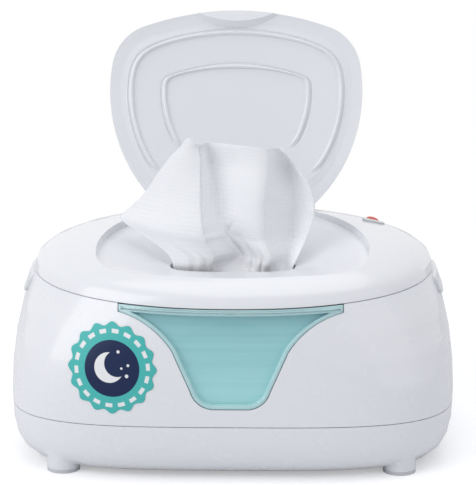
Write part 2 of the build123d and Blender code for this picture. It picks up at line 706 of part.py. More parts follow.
def make_thermal_fuse():
    """Small axial fuse held in the pad beside the thermostat."""
    high = TUB_FLOOR_HEIGHT - HEATER_PLATE - ELEMENT_THICK
    body = cylinder(-20, -4, high - 2, 4, 8, (0, 1, 0))
    return body & below(high)


def make_control_board():
    """Circuit board on four standoffs."""
    low = (-BOARD_WIDTH / 2, BOARD_Y - BOARD_DEPTH / 2, BOARD_HEIGHT)
    high = (BOARD_WIDTH / 2, BOARD_Y + BOARD_DEPTH / 2, BOARD_HEIGHT + BOARD_THICK)
    return block(low, high)


def make_board_components():
    """Relay, capacitor, chip and terminal block standing on the board."""
    top = BOARD_HEIGHT + BOARD_THICK
    return [
        block((-30, BOARD_Y - 12, top), (-16, BOARD_Y - 2, top + 8)),
        cylinder(-2, BOARD_Y - 8, top, 8, 8.5),
        block((8, BOARD_Y - 12, top), (18, BOARD_Y - 6, top + 1.6)),
        block((20, BOARD_Y + 4, top), (34, BOARD_Y + 12, top + 7)),
    ]


def make_dc_jack():
    """Power inlet: a square moulding with a round socket, facing the rear, and its centre pin."""
    y = jack_front_y()
    half = JACK_WIDTH / 2
    low, high = JACK_HEIGHT - half, JACK_HEIGHT + half
    body = block((JACK_X - half, y, low), (JACK_X + half, y + JACK_LENGTH, high))
    body = body - cylinder(JACK_X, y + 3, JACK_HEIGHT, JACK_BORE_D, BIG, (0, 1, 0))
    pin = cylinder(JACK_X, y + 2, JACK_HEIGHT, JACK_PIN_D, JACK_LENGTH - 3.5, (0, 1, 0))
    return body + pin


def make_led_board():
    """Night light board under the window, with three flat lamps."""
    half, deep = LED_BOARD_WIDTH / 2, LED_BOARD_DEPTH / 2
    top = LED_BOARD_HEIGHT + BOARD_THICK
    board = block((-half, LED_Y - deep, LED_BOARD_HEIGHT), (half, LED_Y + deep, top))
    for x in (-half * 0.6, 0, half * 0.6):
        board = board + block((x - 1.8, LED_Y - 1.4, top), (x + 1.8, LED_Y + 1.4, top + 1.2))
    return board


def make_light_guide():
    """Clear bar over the lamps that spreads their light up behind the window."""
    half, deep = LED_BOARD_WIDTH / 2, LED_BOARD_DEPTH / 2
    low = LED_BOARD_HEIGHT + BOARD_THICK
    bar = block((-half, LED_Y - deep, low), (half, LED_Y + deep, low + GUIDE_HEIGHT))
    return bar - block((-half + 3, LED_Y - 2.2, low), (half - 3, LED_Y + 2.2, low + 1.4))


# ---- top cover -------------------------------------------------------------------------------------------
def funnel(grow, drop, neck_low):
    """Funnel from the recess floor to the dispensing slot, moved out by grow and down by drop."""
    plane = tilted_floor_plane(RECESS_DEPTH + drop)
    slope_z, slope_y = plane.z_dir.Z, -plane.z_dir.Y
    upper = []
    lower = []
    for k in range(RING_POINTS):
        angle = 2 * math.pi * k / RING_POINTS
        x, y = funnel_mouth_point(angle, grow)
        z = plane.origin.Z + (y - plane.origin.Y) * slope_y / slope_z
        upper.append(Vector(x, y, z))
        x, y = superellipse_point(SLOT_WIDTH / 2 + grow, SLOT_DEPTH / 2 + grow, SLOT_SQUARENESS, angle)
        lower.append(Vector(x, SLOT_Y + y, SLOT_HEIGHT + SLOT_NECK - drop))
    neck = [Vector(p.X, p.Y, neck_low) for p in lower]
    cone = Solid.make_loft([closed_spline(upper), closed_spline(lower)])
    throat = Solid.make_loft([closed_spline(lower), closed_spline(neck)])
    return cone + throat


def funnel_mouth_point(angle, grow):
    """Point at an angle round the slot where the nearest of the lid's arcs is met, corners blended."""
    c, s = math.cos(angle), math.sin(angle)
    side_x = LID_SIDE_RADIUS - LID_HALF_WIDTH
    side_y = LID_HINGE_Y - LID_WIDEST
    shoulder = 1.2 - grow
    discs = [
        (-side_x, side_y, LID_SIDE_RADIUS - shoulder),
        (side_x, side_y, LID_SIDE_RADIUS - shoulder),
        (0, LID_FRONT_Y + LID_FRONT_RADIUS, LID_FRONT_RADIUS - shoulder),
    ]
    inverse = 0.0
    for x, y, radius in discs:
        along = x * c + (y - SLOT_Y) * s
        across = x * x + (y - SLOT_Y) ** 2 - radius * radius
        reach = along + math.sqrt(along * along - across)
        inverse += reach ** -MOUTH_BLEND
    if s > 0:
        rear = (LID_HINGE_Y - LID_REAR_SETBACK - SLOT_Y - shoulder) / s
        inverse += rear ** -MOUTH_BLEND
    radius = inverse ** (-1 / MOUTH_BLEND)
    return radius * c, SLOT_Y + radius * s


def make_top_cover():
    """Domed cover: shell, recess for the flip lid, funnel down to the slot, and rear hinge knuckles."""
    rim = tilted_floor_plane(RECESS_DEPTH)
    upper = Box(BIG, BIG, BIG, align=(Align.CENTER, Align.CENTER, Align.MIN))
    well = column(lid_outline(LID_CLEARANCE + WELL_WALL), SLOT_HEIGHT, TOP_SEAM_HEIGHT + 3 * DOME_RISE)
    hollow = envelope(WALL, "dome") - (well & (rim.offset(-WELL_WALL).location * upper))
    hollow = hollow - funnel(WELL_WALL, WELL_WALL, SLOT_HEIGHT - SLOT_SKIRT) - hinge_trough(WELL_WALL)
    cover = (envelope(0, "dome") & over_seam(SEAM_GAP / 2)) - hollow
    recess = column(lid_outline(LID_CLEARANCE), SLOT_HEIGHT, TOP_SEAM_HEIGHT + 3 * DOME_RISE)
    cover = cover - (recess & (rim.location * upper))
    cover = cover - funnel(0, 0, SLOT_HEIGHT - 4 * SLOT_SKIRT)
    cover = cover - tab_pocket()
    cover = cover - hinge_trough(0)
    for side in (-1, 1):
        cover = cover + cover_lug(side)
    cover = cover - lid_hinge_bar(LID_PIN_D + 2 * PIN_CLEARANCE, PIN_CLEARANCE)
    cover = cover - button_hole(BUTTON_Y, BUTTON_LENGTH, BUTTON_WIDTH, FIT)
    cover = cover - button_hole(BUTTON_Y + LENS_OFFSET, LENS_LENGTH, LENS_WIDTH, PIN_CLEARANCE)
    for span in hinge_spans("cover"):
        web = block(
            (span[0], COVER_HINGE_Y - 8, COVER_HINGE_HEIGHT - 1.2),
            (span[1], COVER_HINGE_Y + 0.6, COVER_HINGE_HEIGHT + KNUCKLE_D / 2),
        )
        web = web & over_seam(SEAM_GAP / 2) & envelope(-2.4, "dome")
        cover = cover + (web - envelope(WALL, "dome")) + hinge_barrel(span, KNUCKLE_D)
        cover = cover - hinge_barrel(span, HINGE_PIN_D + 2 * PIN_CLEARANCE, 1)
    for span in hinge_spans("casing"):
        cover = cover - hinge_barrel(span, KNUCKLE_D + 2 * FIT + 0.4, KNUCKLE_GAP)
    return cover


def tab_shape(grow, low, high):
    """Segment of a cone at the lid's free edge, wider where it meets the lid."""
    radius = (TAB_HALF_WIDTH ** 2 + (TAB_DEPTH * 0.75) ** 2) / (2 * TAB_DEPTH * 0.75)
    middle_y = LID_FRONT_Y + TAB_DEPTH - radius
    small, large = radius + grow, radius + TAB_SLOPE + grow
    return Solid.make_cone(small, large, high - low, Plane(origin=(0, middle_y, low)))


def tab_low():
    """Height of the tab's lower face when the lid is closed."""
    return dome_height(0, LID_FRONT_Y + TAB_DEPTH) - LID_THICK - TAB_HEIGHT


def tab_pocket():
    """Room for the lid's finger tab in the front of the recess."""
    low = tab_low() - FIT * 2
    high = low + TAB_HEIGHT + LID_THICK + 8
    return tab_shape(1.0, low, high) & column(lid_outline(LID_CLEARANCE), low, high)


def hinge_trough(grow):
    """Room across the rear of the recess for the lid's knuckles and rear edge as it swings up."""
    half = LID_LUG_X + LID_LUG_WIDTH + grow
    radius = LID_KNUCKLE_D / 2 + 1.0 + grow
    trough = cylinder(-half, LID_HINGE_Y, LID_HINGE_HEIGHT, 2 * radius, 2 * half, (1, 0, 0))
    mouth = block(
        (-half, LID_HINGE_Y - radius - 2, LID_HINGE_HEIGHT),
        (half, LID_HINGE_Y + radius + 0.8, LID_HINGE_HEIGHT + DOME_RISE),
    )
    return trough + mouth


def lug_span(side, own):
    """X range of a hinge lug: the lid's lug, or the cover's bracket just outside it."""
    low = LID_LUG_X - LID_LUG_WIDTH / 2
    if own == "lid":
        span = (low, low + LID_LUG_WIDTH)
    else:
        span = (low + LID_LUG_WIDTH + KNUCKLE_GAP, LID_LUG_X + LID_LUG_WIDTH + 1.5)
    return span if side > 0 else (-span[1], -span[0])


def cover_lug(side):
    """Bracket at the end of the trough that carries the lid's hinge pin."""
    span = lug_span(side, "cover")
    return block(
        (span[0], LID_HINGE_Y - 2.8, LID_HINGE_HEIGHT - 5.4),
        (span[1], LID_HINGE_Y + 4.2, LID_HINGE_HEIGHT + 1.2),
    )


def lid_hinge_bar(diameter, extra=0.0):
    """Round bar on the flip lid's hinge axis, as long as the hinge pin."""
    half = LID_LUG_X + LID_LUG_WIDTH + 1.0 + extra
    return cylinder(-half, LID_HINGE_Y, LID_HINGE_HEIGHT, diameter, 2 * half, (1, 0, 0))


def button_hole(y, length, width, gap):
    """Upright slot through the cover's dome, wider than its key by the gap all round."""
    slot = Pos(BUTTON_X, y) * SlotOverall(length + 2 * gap, width + 2 * gap)
    return column(slot, TOP_SEAM_HEIGHT + 2, TOP_SEAM_HEIGHT + 2 * DOME_RISE)


def button_form(y, length, width, proud):
    """Slot-shaped key whose top follows the dome and stands proud of it."""
    face = Pos(BUTTON_X, y) * SlotOverall(length, width)
    key = column(face, TOP_SEAM_HEIGHT + 2, TOP_SEAM_HEIGHT + 2 * DOME_RISE)
    return (key & envelope(-proud, "dome")) - envelope(WALL + 0.8, "dome")


def switch_top():
    """Height of the top of the switch under the light button."""
    slope = math.radians(TOP_SEAM_TILT)
    stacked = LINING_DROP + LINING_THICK + SWITCH_BOARD_THICK + SWITCH_HEIGHT
    return TOP_SEAM_HEIGHT + BUTTON_Y * math.tan(slope) + stacked / math.cos(slope)


def make_light_button():
    """Oval push button for the night light, with a stem down to its switch."""
    key = button_form(BUTTON_Y, BUTTON_LENGTH, BUTTON_WIDTH, BUTTON_PROUD)
    low = switch_top() + BUTTON_TRAVEL + FIT
    stem_x = BUTTON_X - BUTTON_WIDTH / 2
    stem = cylinder(stem_x, BUTTON_Y, low, 3.0, dome_height(stem_x, BUTTON_Y) - WALL - low)
    return key + stem


def make_indicator_lens():
    """Small red lens behind the light button."""
    return button_form(BUTTON_Y + LENS_OFFSET, LENS_LENGTH, LENS_WIDTH, 0.3)


def make_switch_board():
    """Small board with the tactile switch under the light button, lying on the cover's lining."""
    y = BUTTON_Y / math.cos(math.radians(TOP_SEAM_TILT))
    x = BUTTON_X - BUTTON_WIDTH / 2
    board = block((x - 8, y - 5, 0), (x + 5, y + 5, SWITCH_BOARD_THICK))
    switch = block((x - 2, y - 2, 0), (x + 2, y + 2, SWITCH_BOARD_THICK + SWITCH_HEIGHT))
    return SEAM_PLANE.offset(LINING_DROP + LINING_THICK).location * (board + switch)


def make_cover_lining():
    """Flat inner moulding that closes the cover from below, round the funnel."""
    half_w, half_d = TOP_SEAM_WIDTH / 2 - WALL - 3 * FIT, TOP_SEAM_DEPTH / 2 - WALL - 3 * FIT
    lining = Solid.make_loft([
        seam_ring(half_w, half_d, SEAM_SQUARENESS, LINING_DROP),
        seam_ring(half_w - FIT, half_d - FIT, SEAM_SQUARENESS, LINING_DROP + LINING_THICK),
    ])
    room = WELL_WALL + FIT
    return lining - funnel(room, room, SLOT_HEIGHT - 4 * SLOT_SKIRT) - tab_pocket_room()


def tab_pocket_room():
    """Clearance under the tab's pocket."""
    low = tab_low() - 4
    outline = lid_outline(LID_CLEARANCE + WELL_WALL)
    return tab_shape(1.0 + WELL_WALL, low, low + 12) & column(outline, low, low + 12)


def make_cover_gasket():
    """Soft sealing ring under the lining that lands on the tub's flange."""
    half_w, half_d = TUB_RIM_WIDTH / 2, TUB_RIM_DEPTH / 2 - 1
    low, high = -FLANGE_DROP + FIT, LINING_DROP

    def hoop(inset):
        return Solid.make_loft([
            seam_ring(half_w - inset, half_d - inset, RIM_SQUARENESS, low),
            seam_ring(half_w - inset, half_d - inset, RIM_SQUARENESS, high),
        ])
    return hoop(0) - hoop(GASKET_WIDTH)


def make_cover_hinge_pins():
    """Two steel pins on the cover's hinge axis."""
    pins = []
    for middle in (-HINGE_X, HINGE_X):
        half = KNUCKLE_LENGTH + KNUCKLE_GAP
        pins.append(hinge_barrel((middle - half, middle + half), HINGE_PIN_D))
    return pins


# ---- flip lid, built closed ----------------------------------------------------------------------------
def lid_column(inset):
    """Upright prism of the lid's outline drawn in by an inset."""
    return column(lid_outline(-inset), SLOT_HEIGHT - 10, TOP_SEAM_HEIGHT + 3 * DOME_RISE)


def turned_open(shape):
    """Swing a closed lid piece up to the open stop."""
    return shape.rotate(LID_HINGE, -LID_OPEN_ANGLE)


def make_lid_outer():
    """Outer skin of the flip lid, its finger tab and its two hinge lugs."""
    lid = (lid_column(0) & envelope(0, "dome")) - envelope(LID_THICK, "dome")
    low = tab_low()
    high = low + TAB_HEIGHT + LID_THICK
    lid = lid + (tab_shape(0, low, high) & lid_column(0.2) & envelope(LID_THICK / 2, "dome"))
    for side in (-1, 1):
        span = lug_span(side, "lid")
        arm = block(
            (span[0], LID_HINGE_Y - 9, LID_HINGE_HEIGHT + FIT),
            (span[1], LID_HINGE_Y, LID_HINGE_HEIGHT + LID_KNUCKLE_D / 2),
        )
        barrel = cylinder(span[0], LID_HINGE_Y, LID_HINGE_HEIGHT, LID_KNUCKLE_D, LID_LUG_WIDTH, (1, 0, 0))
        lid = lid + (arm & envelope(LID_THICK / 3, "dome")) + barrel
        lid = lid - cylinder(span[0] - 1, LID_HINGE_Y, LID_HINGE_HEIGHT, LID_PIN_D + 2 * PIN_CLEARANCE,
                             LID_LUG_WIDTH + 2, (1, 0, 0))
    return lid


def make_lid_liner():
    """Thin inner plate of the flip lid with its two raised bead ribs, open towards the hinge."""
    face_low = LID_THICK + LINER_THICK
    plate = (lid_column(LINER_INSET) & envelope(LID_THICK, "dome")) - envelope(face_low, "dome")
    rib_skin = envelope(LID_THICK + LINER_THICK / 2, "dome") - envelope(face_low + RIB_HEIGHT, "dome")
    for inset, setback in zip(RIB_INSETS, RIB_SETBACKS):
        stop = LID_HINGE_Y - setback
        hoop = lid_column(inset - RIB_WIDTH / 2) - lid_column(inset + RIB_WIDTH / 2)
        front = block((-BIG, -BIG, 0), (BIG, stop, BIG))
        plate = plate + (hoop & front & rib_skin)
    low = tab_low()
    plate = plate - tab_shape(FIT, low, low + TAB_HEIGHT + LID_THICK)
    rear = block((-BIG, LID_HINGE_Y - 10, 0), (BIG, BIG, BIG))
    return plate - rear


def make_lid_pin():
    """Steel pin through the lid's lugs and the cover's brackets."""
    return lid_hinge_bar(LID_PIN_D)


def make_wipe():
    """Wipe pulled up through the slot: a flat tail below, a fan above."""
    y_mid = SLOT_Y - (SLOT_DEPTH - WIPE_THICK) / 2 + 1.6
    half = SLOT_WIDTH / 2 - 3
    stack_top = TUB_FLOOR_HEIGHT + TUB_FLOOR + STACK_HEIGHT
    lean = 6.0
    rise = WIPE_TOP - SLOT_HEIGHT
    return Solid.make_loft([
        ring(half * 0.8, WIPE_THICK * 0.3, 2.6, stack_top + FIT, 0, y_mid),
        ring(half, WIPE_THICK * 0.46, 2.6, SLOT_HEIGHT - 3, 0, y_mid),
        ring(half, WIPE_THICK * 0.5, 2.6, SLOT_HEIGHT + 5, 0, y_mid),
        ring(WIPE_SPREAD * 0.44, WIPE_THICK * 0.8, 2.6, SLOT_HEIGHT + 0.38 * rise, 0, y_mid + lean * 0.4),
        ring(WIPE_SPREAD * 0.45, WIPE_THICK * 0.9, 2.6, SLOT_HEIGHT + 0.66 * rise, 0, y_mid + lean),
        ring(WIPE_SPREAD * 0.3, WIPE_THICK * 0.4, 2.6, WIPE_TOP, 0, y_mid + lean * 1.5),
    ])


# ---- write every node ----------------------------------------------------------------------------------
def solids_of(made):
    """List of the solids in a shape or in a list of shapes."""
    shapes = made if isinstance(made, list) else [made]
    found = []
    for shape in shapes:
        found.extend(shape.solids())
    return found


MAKERS = {
    "base_tray": make_base_tray,
    "rubber_feet": make_feet,
    "base_screws": make_screws,
    "body_shell": make_body_shell,
    "front_window": make_window,
    "badge_sticker": make_badge,
    "side_latch_left": lambda: make_latch(-1),
    "side_latch_right": lambda: make_latch(1),
    "latch_spring_left": lambda: make_latch_spring(-1),
    "latch_spring_right": lambda: make_latch_spring(1),
    "wipe_tub": make_wipe_tub,
    "wipe_stack": make_wipe_stack,
    "heater_plate": make_heater_plate,
    "heating_element": make_heating_element,
    "insulation_pad": make_insulation_pad,
    "thermostat": make_thermostat,
    "thermal_fuse": make_thermal_fuse,
    "control_board": make_control_board,
    "board_components": make_board_components,
    "dc_jack": make_dc_jack,
    "led_board": make_led_board,
    "light_guide": make_light_guide,
    "top_cover": make_top_cover,
    "cover_lining": make_cover_lining,
    "cover_gasket": make_cover_gasket,
    "cover_hinge_pins": make_cover_hinge_pins,
    "light_button": make_light_button,
    "indicator_lens": make_indicator_lens,
    "switch_board": make_switch_board,
    "flip_lid": lambda: turned_open(make_lid_outer()),
    "flip_lid_liner": lambda: turned_open(make_lid_liner()),
    "flip_lid_pin": make_lid_pin,
    "wipe": make_wipe,
}


def main():
    """Build every node, tidy its faces once at the end and write it as a STEP file."""
    os.makedirs("parts", exist_ok=True)
    for name, make in MAKERS.items():
        with SkipClean():
            solids = solids_of(make())
        solids = [solid.clean() for solid in solids]
        shape = solids[0] if len(solids) == 1 else Compound(children=solids)
        export_step(shape, f"parts/{name}.step")
        print(name, len(solids), "solid(s)")


if __name__ == "__main__":
    main()
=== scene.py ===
# %% [markdown]
# Baby wipe warmer, dressed for the camera.
#
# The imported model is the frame: every body, hinge and size comes from it. The casing, the cover and
# the lid keep their own solids. The window, the badge, the lid's inner plate, the wipes, the foam and
# the indicator are made again here as smooth surfaces, and each rides on the body that carries it.

# %% Load the frame
import math
import bpy
import numpy as np
from mathutils import Matrix, Vector


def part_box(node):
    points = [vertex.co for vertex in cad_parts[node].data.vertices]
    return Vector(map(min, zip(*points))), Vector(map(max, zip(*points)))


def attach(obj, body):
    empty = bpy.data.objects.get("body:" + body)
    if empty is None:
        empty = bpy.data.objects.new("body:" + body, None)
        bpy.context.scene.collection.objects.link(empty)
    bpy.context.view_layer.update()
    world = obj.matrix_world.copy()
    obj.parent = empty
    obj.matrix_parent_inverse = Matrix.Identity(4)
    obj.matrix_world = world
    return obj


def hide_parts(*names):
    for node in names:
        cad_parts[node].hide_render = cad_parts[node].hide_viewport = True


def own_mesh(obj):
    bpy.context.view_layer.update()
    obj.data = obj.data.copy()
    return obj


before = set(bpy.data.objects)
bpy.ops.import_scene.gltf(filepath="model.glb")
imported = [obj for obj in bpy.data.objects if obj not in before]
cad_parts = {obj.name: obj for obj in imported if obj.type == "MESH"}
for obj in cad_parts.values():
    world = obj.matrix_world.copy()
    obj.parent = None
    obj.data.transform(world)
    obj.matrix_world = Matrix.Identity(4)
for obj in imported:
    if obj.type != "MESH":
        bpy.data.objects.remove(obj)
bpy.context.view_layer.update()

MM = 0.001
IMAGE_WIDTH, IMAGE_HEIGHT = 476, 485

# %% [markdown]
# The camera stands over a metre away with a long lens, a little above the warmer and almost square
# to its front. It is placed from an elevation, a small turn and a distance, which say more to a
# reader than three coordinates. A long lens keeps the outlines of the lids close to their true shapes.

# %% Camera
VIEW_ELEVATION = math.radians(15.5)
VIEW_TURN = math.radians(1.25)
VIEW_DISTANCE = 1.150
VIEW_HEIGHT = 0.060
FOCAL_PIXELS = 2130.0
AIM_RIGHT, AIM_UP = 0.00205, 0.03958
SENSOR = 36.0

camera_data = bpy.data.cameras.new("camera")
camera = bpy.data.objects.new("camera", camera_data)
bpy.context.scene.collection.objects.link(camera)
bpy.context.scene.camera = camera
camera_data.sensor_width = SENSOR
camera_data.lens = FOCAL_PIXELS * SENSOR / max(IMAGE_WIDTH, IMAGE_HEIGHT)
camera_data.clip_start, camera_data.clip_end = 0.05, 20.0
view_back = Vector((
    math.sin(VIEW_TURN) * math.cos(VIEW_ELEVATION),
    -math.cos(VIEW_TURN) * math.cos(VIEW_ELEVATION),
    math.sin(VIEW_ELEVATION),
))
view_side = Vector((math.cos(VIEW_TURN), math.sin(VIEW_TURN), 0.0))
view_rise = view_back.cross(view_side)
look = (view_side * AIM_RIGHT + view_rise * AIM_UP - view_back).normalized()
level = look.cross(Vector((0, 0, 1))).normalized()
turn = Matrix((level, level.cross(look), -look)).transposed().to_4x4()
camera.matrix_world = Matrix.Translation(Vector((0, 0, VIEW_HEIGHT)) + view_back * VIEW_DISTANCE) @ turn
bpy.context.scene.view_settings.view_transform = "Standard"
print("lens", round(camera_data.lens, 1), "mm")

# %% [markdown]
# A finish is built from nodes, and most of its nodes are plain arithmetic on where a point lies. So a
# small class stands for a node's output and takes part in Python sums, and a second one makes every
# other node from its type, its settings and the values of its sockets.

# %% Shader arithmetic and finishes


def plug(tree, socket, value):
    """Put a number, a colour or another node's output into a socket."""
    if isinstance(value, Signal):
        tree.links.new(value.socket, socket)
    elif isinstance(value, tuple) and len(value) == 3 and socket.type == "RGBA":
        socket.default_value = (*value, 1.0)
    else:
        socket.default_value = value


class Signal:
    """A node's output that can be added, multiplied and compared like a number."""

    def __init__(self, tree, socket):
        self.tree = tree
        self.socket = socket

    def sum(self, operation, first, second):
        node = self.tree.nodes.new("ShaderNodeMath")
        node.operation = operation
        plug(self.tree, node.inputs[0], first)
        plug(self.tree, node.inputs[1], second)
        return Signal(self.tree, node.outputs[0])

    def __add__(self, other): return self.sum("ADD", self, other)
    def __radd__(self, other): return self.sum("ADD", other, self)
    def __sub__(self, other): return self.sum("SUBTRACT", self, other)
    def __rsub__(self, other): return self.sum("SUBTRACT", other, self)
    def __mul__(self, other): return self.sum("MULTIPLY", self, other)
    def __rmul__(self, other): return self.sum("MULTIPLY", other, self)
    def __pow__(self, other): return self.sum("POWER", self, other)


class Finish:
    """One material with its nodes."""

    def __init__(self, name):
        self.material = bpy.data.materials.new(name)
        self.material.use_nodes = True
        self.tree = self.material.node_tree
        self.tree.nodes.clear()
        self.end = self.tree.nodes.new("ShaderNodeOutputMaterial")

    def node(self, kind, settings=None, sockets=None, output=0):
        """Add a node: settings first, then its sockets by name or number. Returns one of its outputs."""
        made = self.tree.nodes.new("ShaderNode" + kind)
        for key, value in (settings or {}).items():
            setattr(made, key, value)
        for key, value in (sockets or {}).items():
            plug(self.tree, made.inputs[key], value)
        return Signal(self.tree, made.outputs[output])

    def where(self):
        """Object coordinates as a vector and as three numbers, in metres."""
        vector = self.node("TexCoord", output="Object")
        parts = [self.node("SeparateXYZ", sockets={0: vector}, output=k) for k in range(3)]
        return vector, parts

    def noise(self, vector, scale, detail=3.0, rough=0.5):
        """Smooth random value from 0 to 1."""
        sockets = {"Vector": vector, "Scale": scale, "Detail": detail, "Roughness": rough}
        return self.node("TexNoise", None, sockets)

    def ease(self, value, low, high, start=0.0, end=1.0):
        """Smooth step of a value between two limits."""
        sockets = {0: value, 1: low, 2: high, 3: start, 4: end}
        return self.node("MapRange", {"interpolation_type": "SMOOTHSTEP"}, sockets)

    def blend(self, share, first, second):
        """Mix of two colours."""
        return self.node("Mix", {"data_type": "RGBA"}, {0: share, 6: first, 7: second}, 2)

    def bump(self, height, distance, strength=1.0):
        """Normal from a height in units of the distance."""
        return self.node("Bump", None, {"Height": height, "Distance": distance, "Strength": strength})

    def done(self, shader):
        """Make a shader the material's surface."""
        self.tree.links.new(shader.socket, self.end.inputs[0])
        return self.material


# %% [markdown]
# A studio sweep is a pale floor and nothing else. The floor is matt white and lifts itself a little
# for the camera, so it reads as clean paper and still keeps the soft shadow under the warmer. The
# world is white where the camera, a mirror or a clear piece looks at it, and softer as a lamp.

# %% Floor, world and lamps
FLOOR_LIFT = 0.34
WORLD_FILL = 0.50


def make_floor():
    """Large matt plane, with a lift for the camera's own rays that grows to plain white far away."""
    finish = Finish("studio_paper")
    _, (x, y, _) = finish.where()
    paper = finish.node("BsdfDiffuse", None, {"Color": (0.86, 0.86, 0.87)})
    glow = finish.node("Emission", None, {"Color": (1.0, 1.0, 1.0), "Strength": FLOOR_LIFT})
    white = finish.node("Emission", None, {"Color": (1.0, 1.0, 1.0), "Strength": 1.0})
    lifted = finish.node("AddShader", None, {0: paper, 1: glow})
    far = finish.ease((x * x + y * y) ** 0.5, 0.25, 0.60)
    both = finish.node("MixShader", None, {0: far, 1: lifted, 2: white})
    seen = finish.node("LightPath", output="Is Camera Ray")
    mesh = bpy.data.meshes.new("floor")
    reach = 6.0
    corners = [(-reach, -reach, 0), (reach, -reach, 0), (reach, reach, 0), (-reach, reach, 0)]
    mesh.from_pydata(corners, [], [(0, 1, 2, 3)])
    floor = bpy.data.objects.new("floor", mesh)
    bpy.context.scene.collection.objects.link(floor)
    mesh.materials.append(finish.done(finish.node("MixShader", None, {0: seen, 1: paper, 2: both})))


def make_world():
    """White to the eye, softer as a source of light."""
    world = bpy.data.worlds.new("studio_world")
    bpy.context.scene.world = world
    world.use_nodes = True
    tree = world.node_tree
    tree.nodes.clear()
    end = tree.nodes.new("ShaderNodeOutputWorld")
    bright = tree.nodes.new("ShaderNodeBackground")
    soft = tree.nodes.new("ShaderNodeBackground")
    bright.inputs[0].default_value = (1.0, 1.0, 1.0, 1.0)
    soft.inputs[0].default_value = (0.93, 0.95, 1.0, 1.0)
    soft.inputs[1].default_value = WORLD_FILL
    path = tree.nodes.new("ShaderNodeLightPath")
    mixed = tree.nodes.new("ShaderNodeMixShader")
    seen = Signal(tree, path.outputs["Is Camera Ray"])
    for kind in ("Is Transmission Ray", "Is Glossy Ray"):
        seen = seen.sum("MAXIMUM", seen, Signal(tree, path.outputs[kind]))
    tree.links.new(seen.socket, mixed.inputs[0])
    tree.links.new(soft.outputs[0], mixed.inputs[1])
    tree.links.new(bright.outputs[0], mixed.inputs[2])
    tree.links.new(mixed.outputs[0], end.inputs[0])


def make_lamp(name, place, aim, size, power):
    """Square soft lamp that faces a point."""
    data = bpy.data.lights.new(name, "AREA")
    data.shape = "SQUARE"
    data.size = size
    data.energy = power
    lamp = bpy.data.objects.new(name, data)
    bpy.context.scene.collection.objects.link(lamp)
    lamp.location = place
    lamp.rotation_mode = "QUATERNION"
    lamp.rotation_quaternion = (Vector(aim) - Vector(place)).to_track_quat("-Z", "Y")


make_floor()
make_world()
make_lamp("key_lamp", (-1.7, -1.1, 1.2), (0, 0, 0.08), 1.6, 18.5)
make_lamp("top_lamp", (0.2, 0.1, 1.9), (0, 0, 0.1), 1.8, 12.5)
make_lamp("right_lamp", (1.8, -1.1, 0.8), (0, 0, 0.08), 1.6, 3.2)

# %% [markdown]
# Moulded plastic is never one flat colour. A very fine waviness breaks up its reflections, the
# polish varies a little from place to place, and so does the tint. One recipe makes all the moulded
# parts, from a colour, a roughness and a depth of texture.

# %% Finishes
TINT_SCALE, POLISH_SCALE = 18.0, 60.0
WAVE_SCALE, WAVE_STRENGTH = 130.0, 0.05
GRAIN_SCALE, GRAIN_STRENGTH = 900.0, 0.6
FINE_BUMP = 0.00002
SMALL_BOSS, LARGE_BOSS_ACROSS, LARGE_BOSS_ALONG = 0.0021, 0.0036, 0.0032


def moulded(name, colour, rough, coat=0.0, grain=0.0, drift=0.03):
    """Plastic or rubber: colour drifts with slow noise, roughness with finer noise, bump is the grain."""
    finish = Finish(name)
    vector, _ = finish.where()
    slow = finish.noise(vector, TINT_SCALE, 2.0)
    fine = finish.noise(vector, GRAIN_SCALE if grain else WAVE_SCALE, 2.0)
    polish = finish.noise(vector, POLISH_SCALE)
    paler = tuple(min(1.0, c * (1 + drift)) for c in colour)
    deeper = tuple(c * (1 - drift) for c in colour)
    sockets = {
        "Base Color": finish.blend(slow, deeper, paler),
        "Roughness": finish.ease(polish, 0.3, 0.7, rough * 0.97, rough * 1.03),
        "Coat Weight": coat,
        "Coat Roughness": 0.04,
        "Normal": finish.bump(fine, FINE_BUMP + grain, GRAIN_STRENGTH if grain else WAVE_STRENGTH),
    }
    return finish.done(finish.node("BsdfPrincipled", None, sockets))


def metal(name, colour, rough):
    """Metal sheet or wire: fine drawn lines along X vary the roughness and a faint bump."""
    finish = Finish(name)
    vector, _ = finish.where()
    stretched = finish.node("Mapping", None, {"Vector": vector, "Scale": (40.0, 1500.0, 1500.0)})
    lines = finish.noise(stretched, 1.0, 2.0)
    sockets = {
        "Base Color": finish.blend(lines, tuple(c * 0.92 for c in colour), colour),
        "Metallic": 1.0,
        "Roughness": finish.ease(lines, 0.2, 0.8, rough - 0.06, rough + 0.08),
        "Normal": finish.bump(lines, FINE_BUMP, 0.3),
    }
    return finish.done(finish.node("BsdfPrincipled", None, sockets))


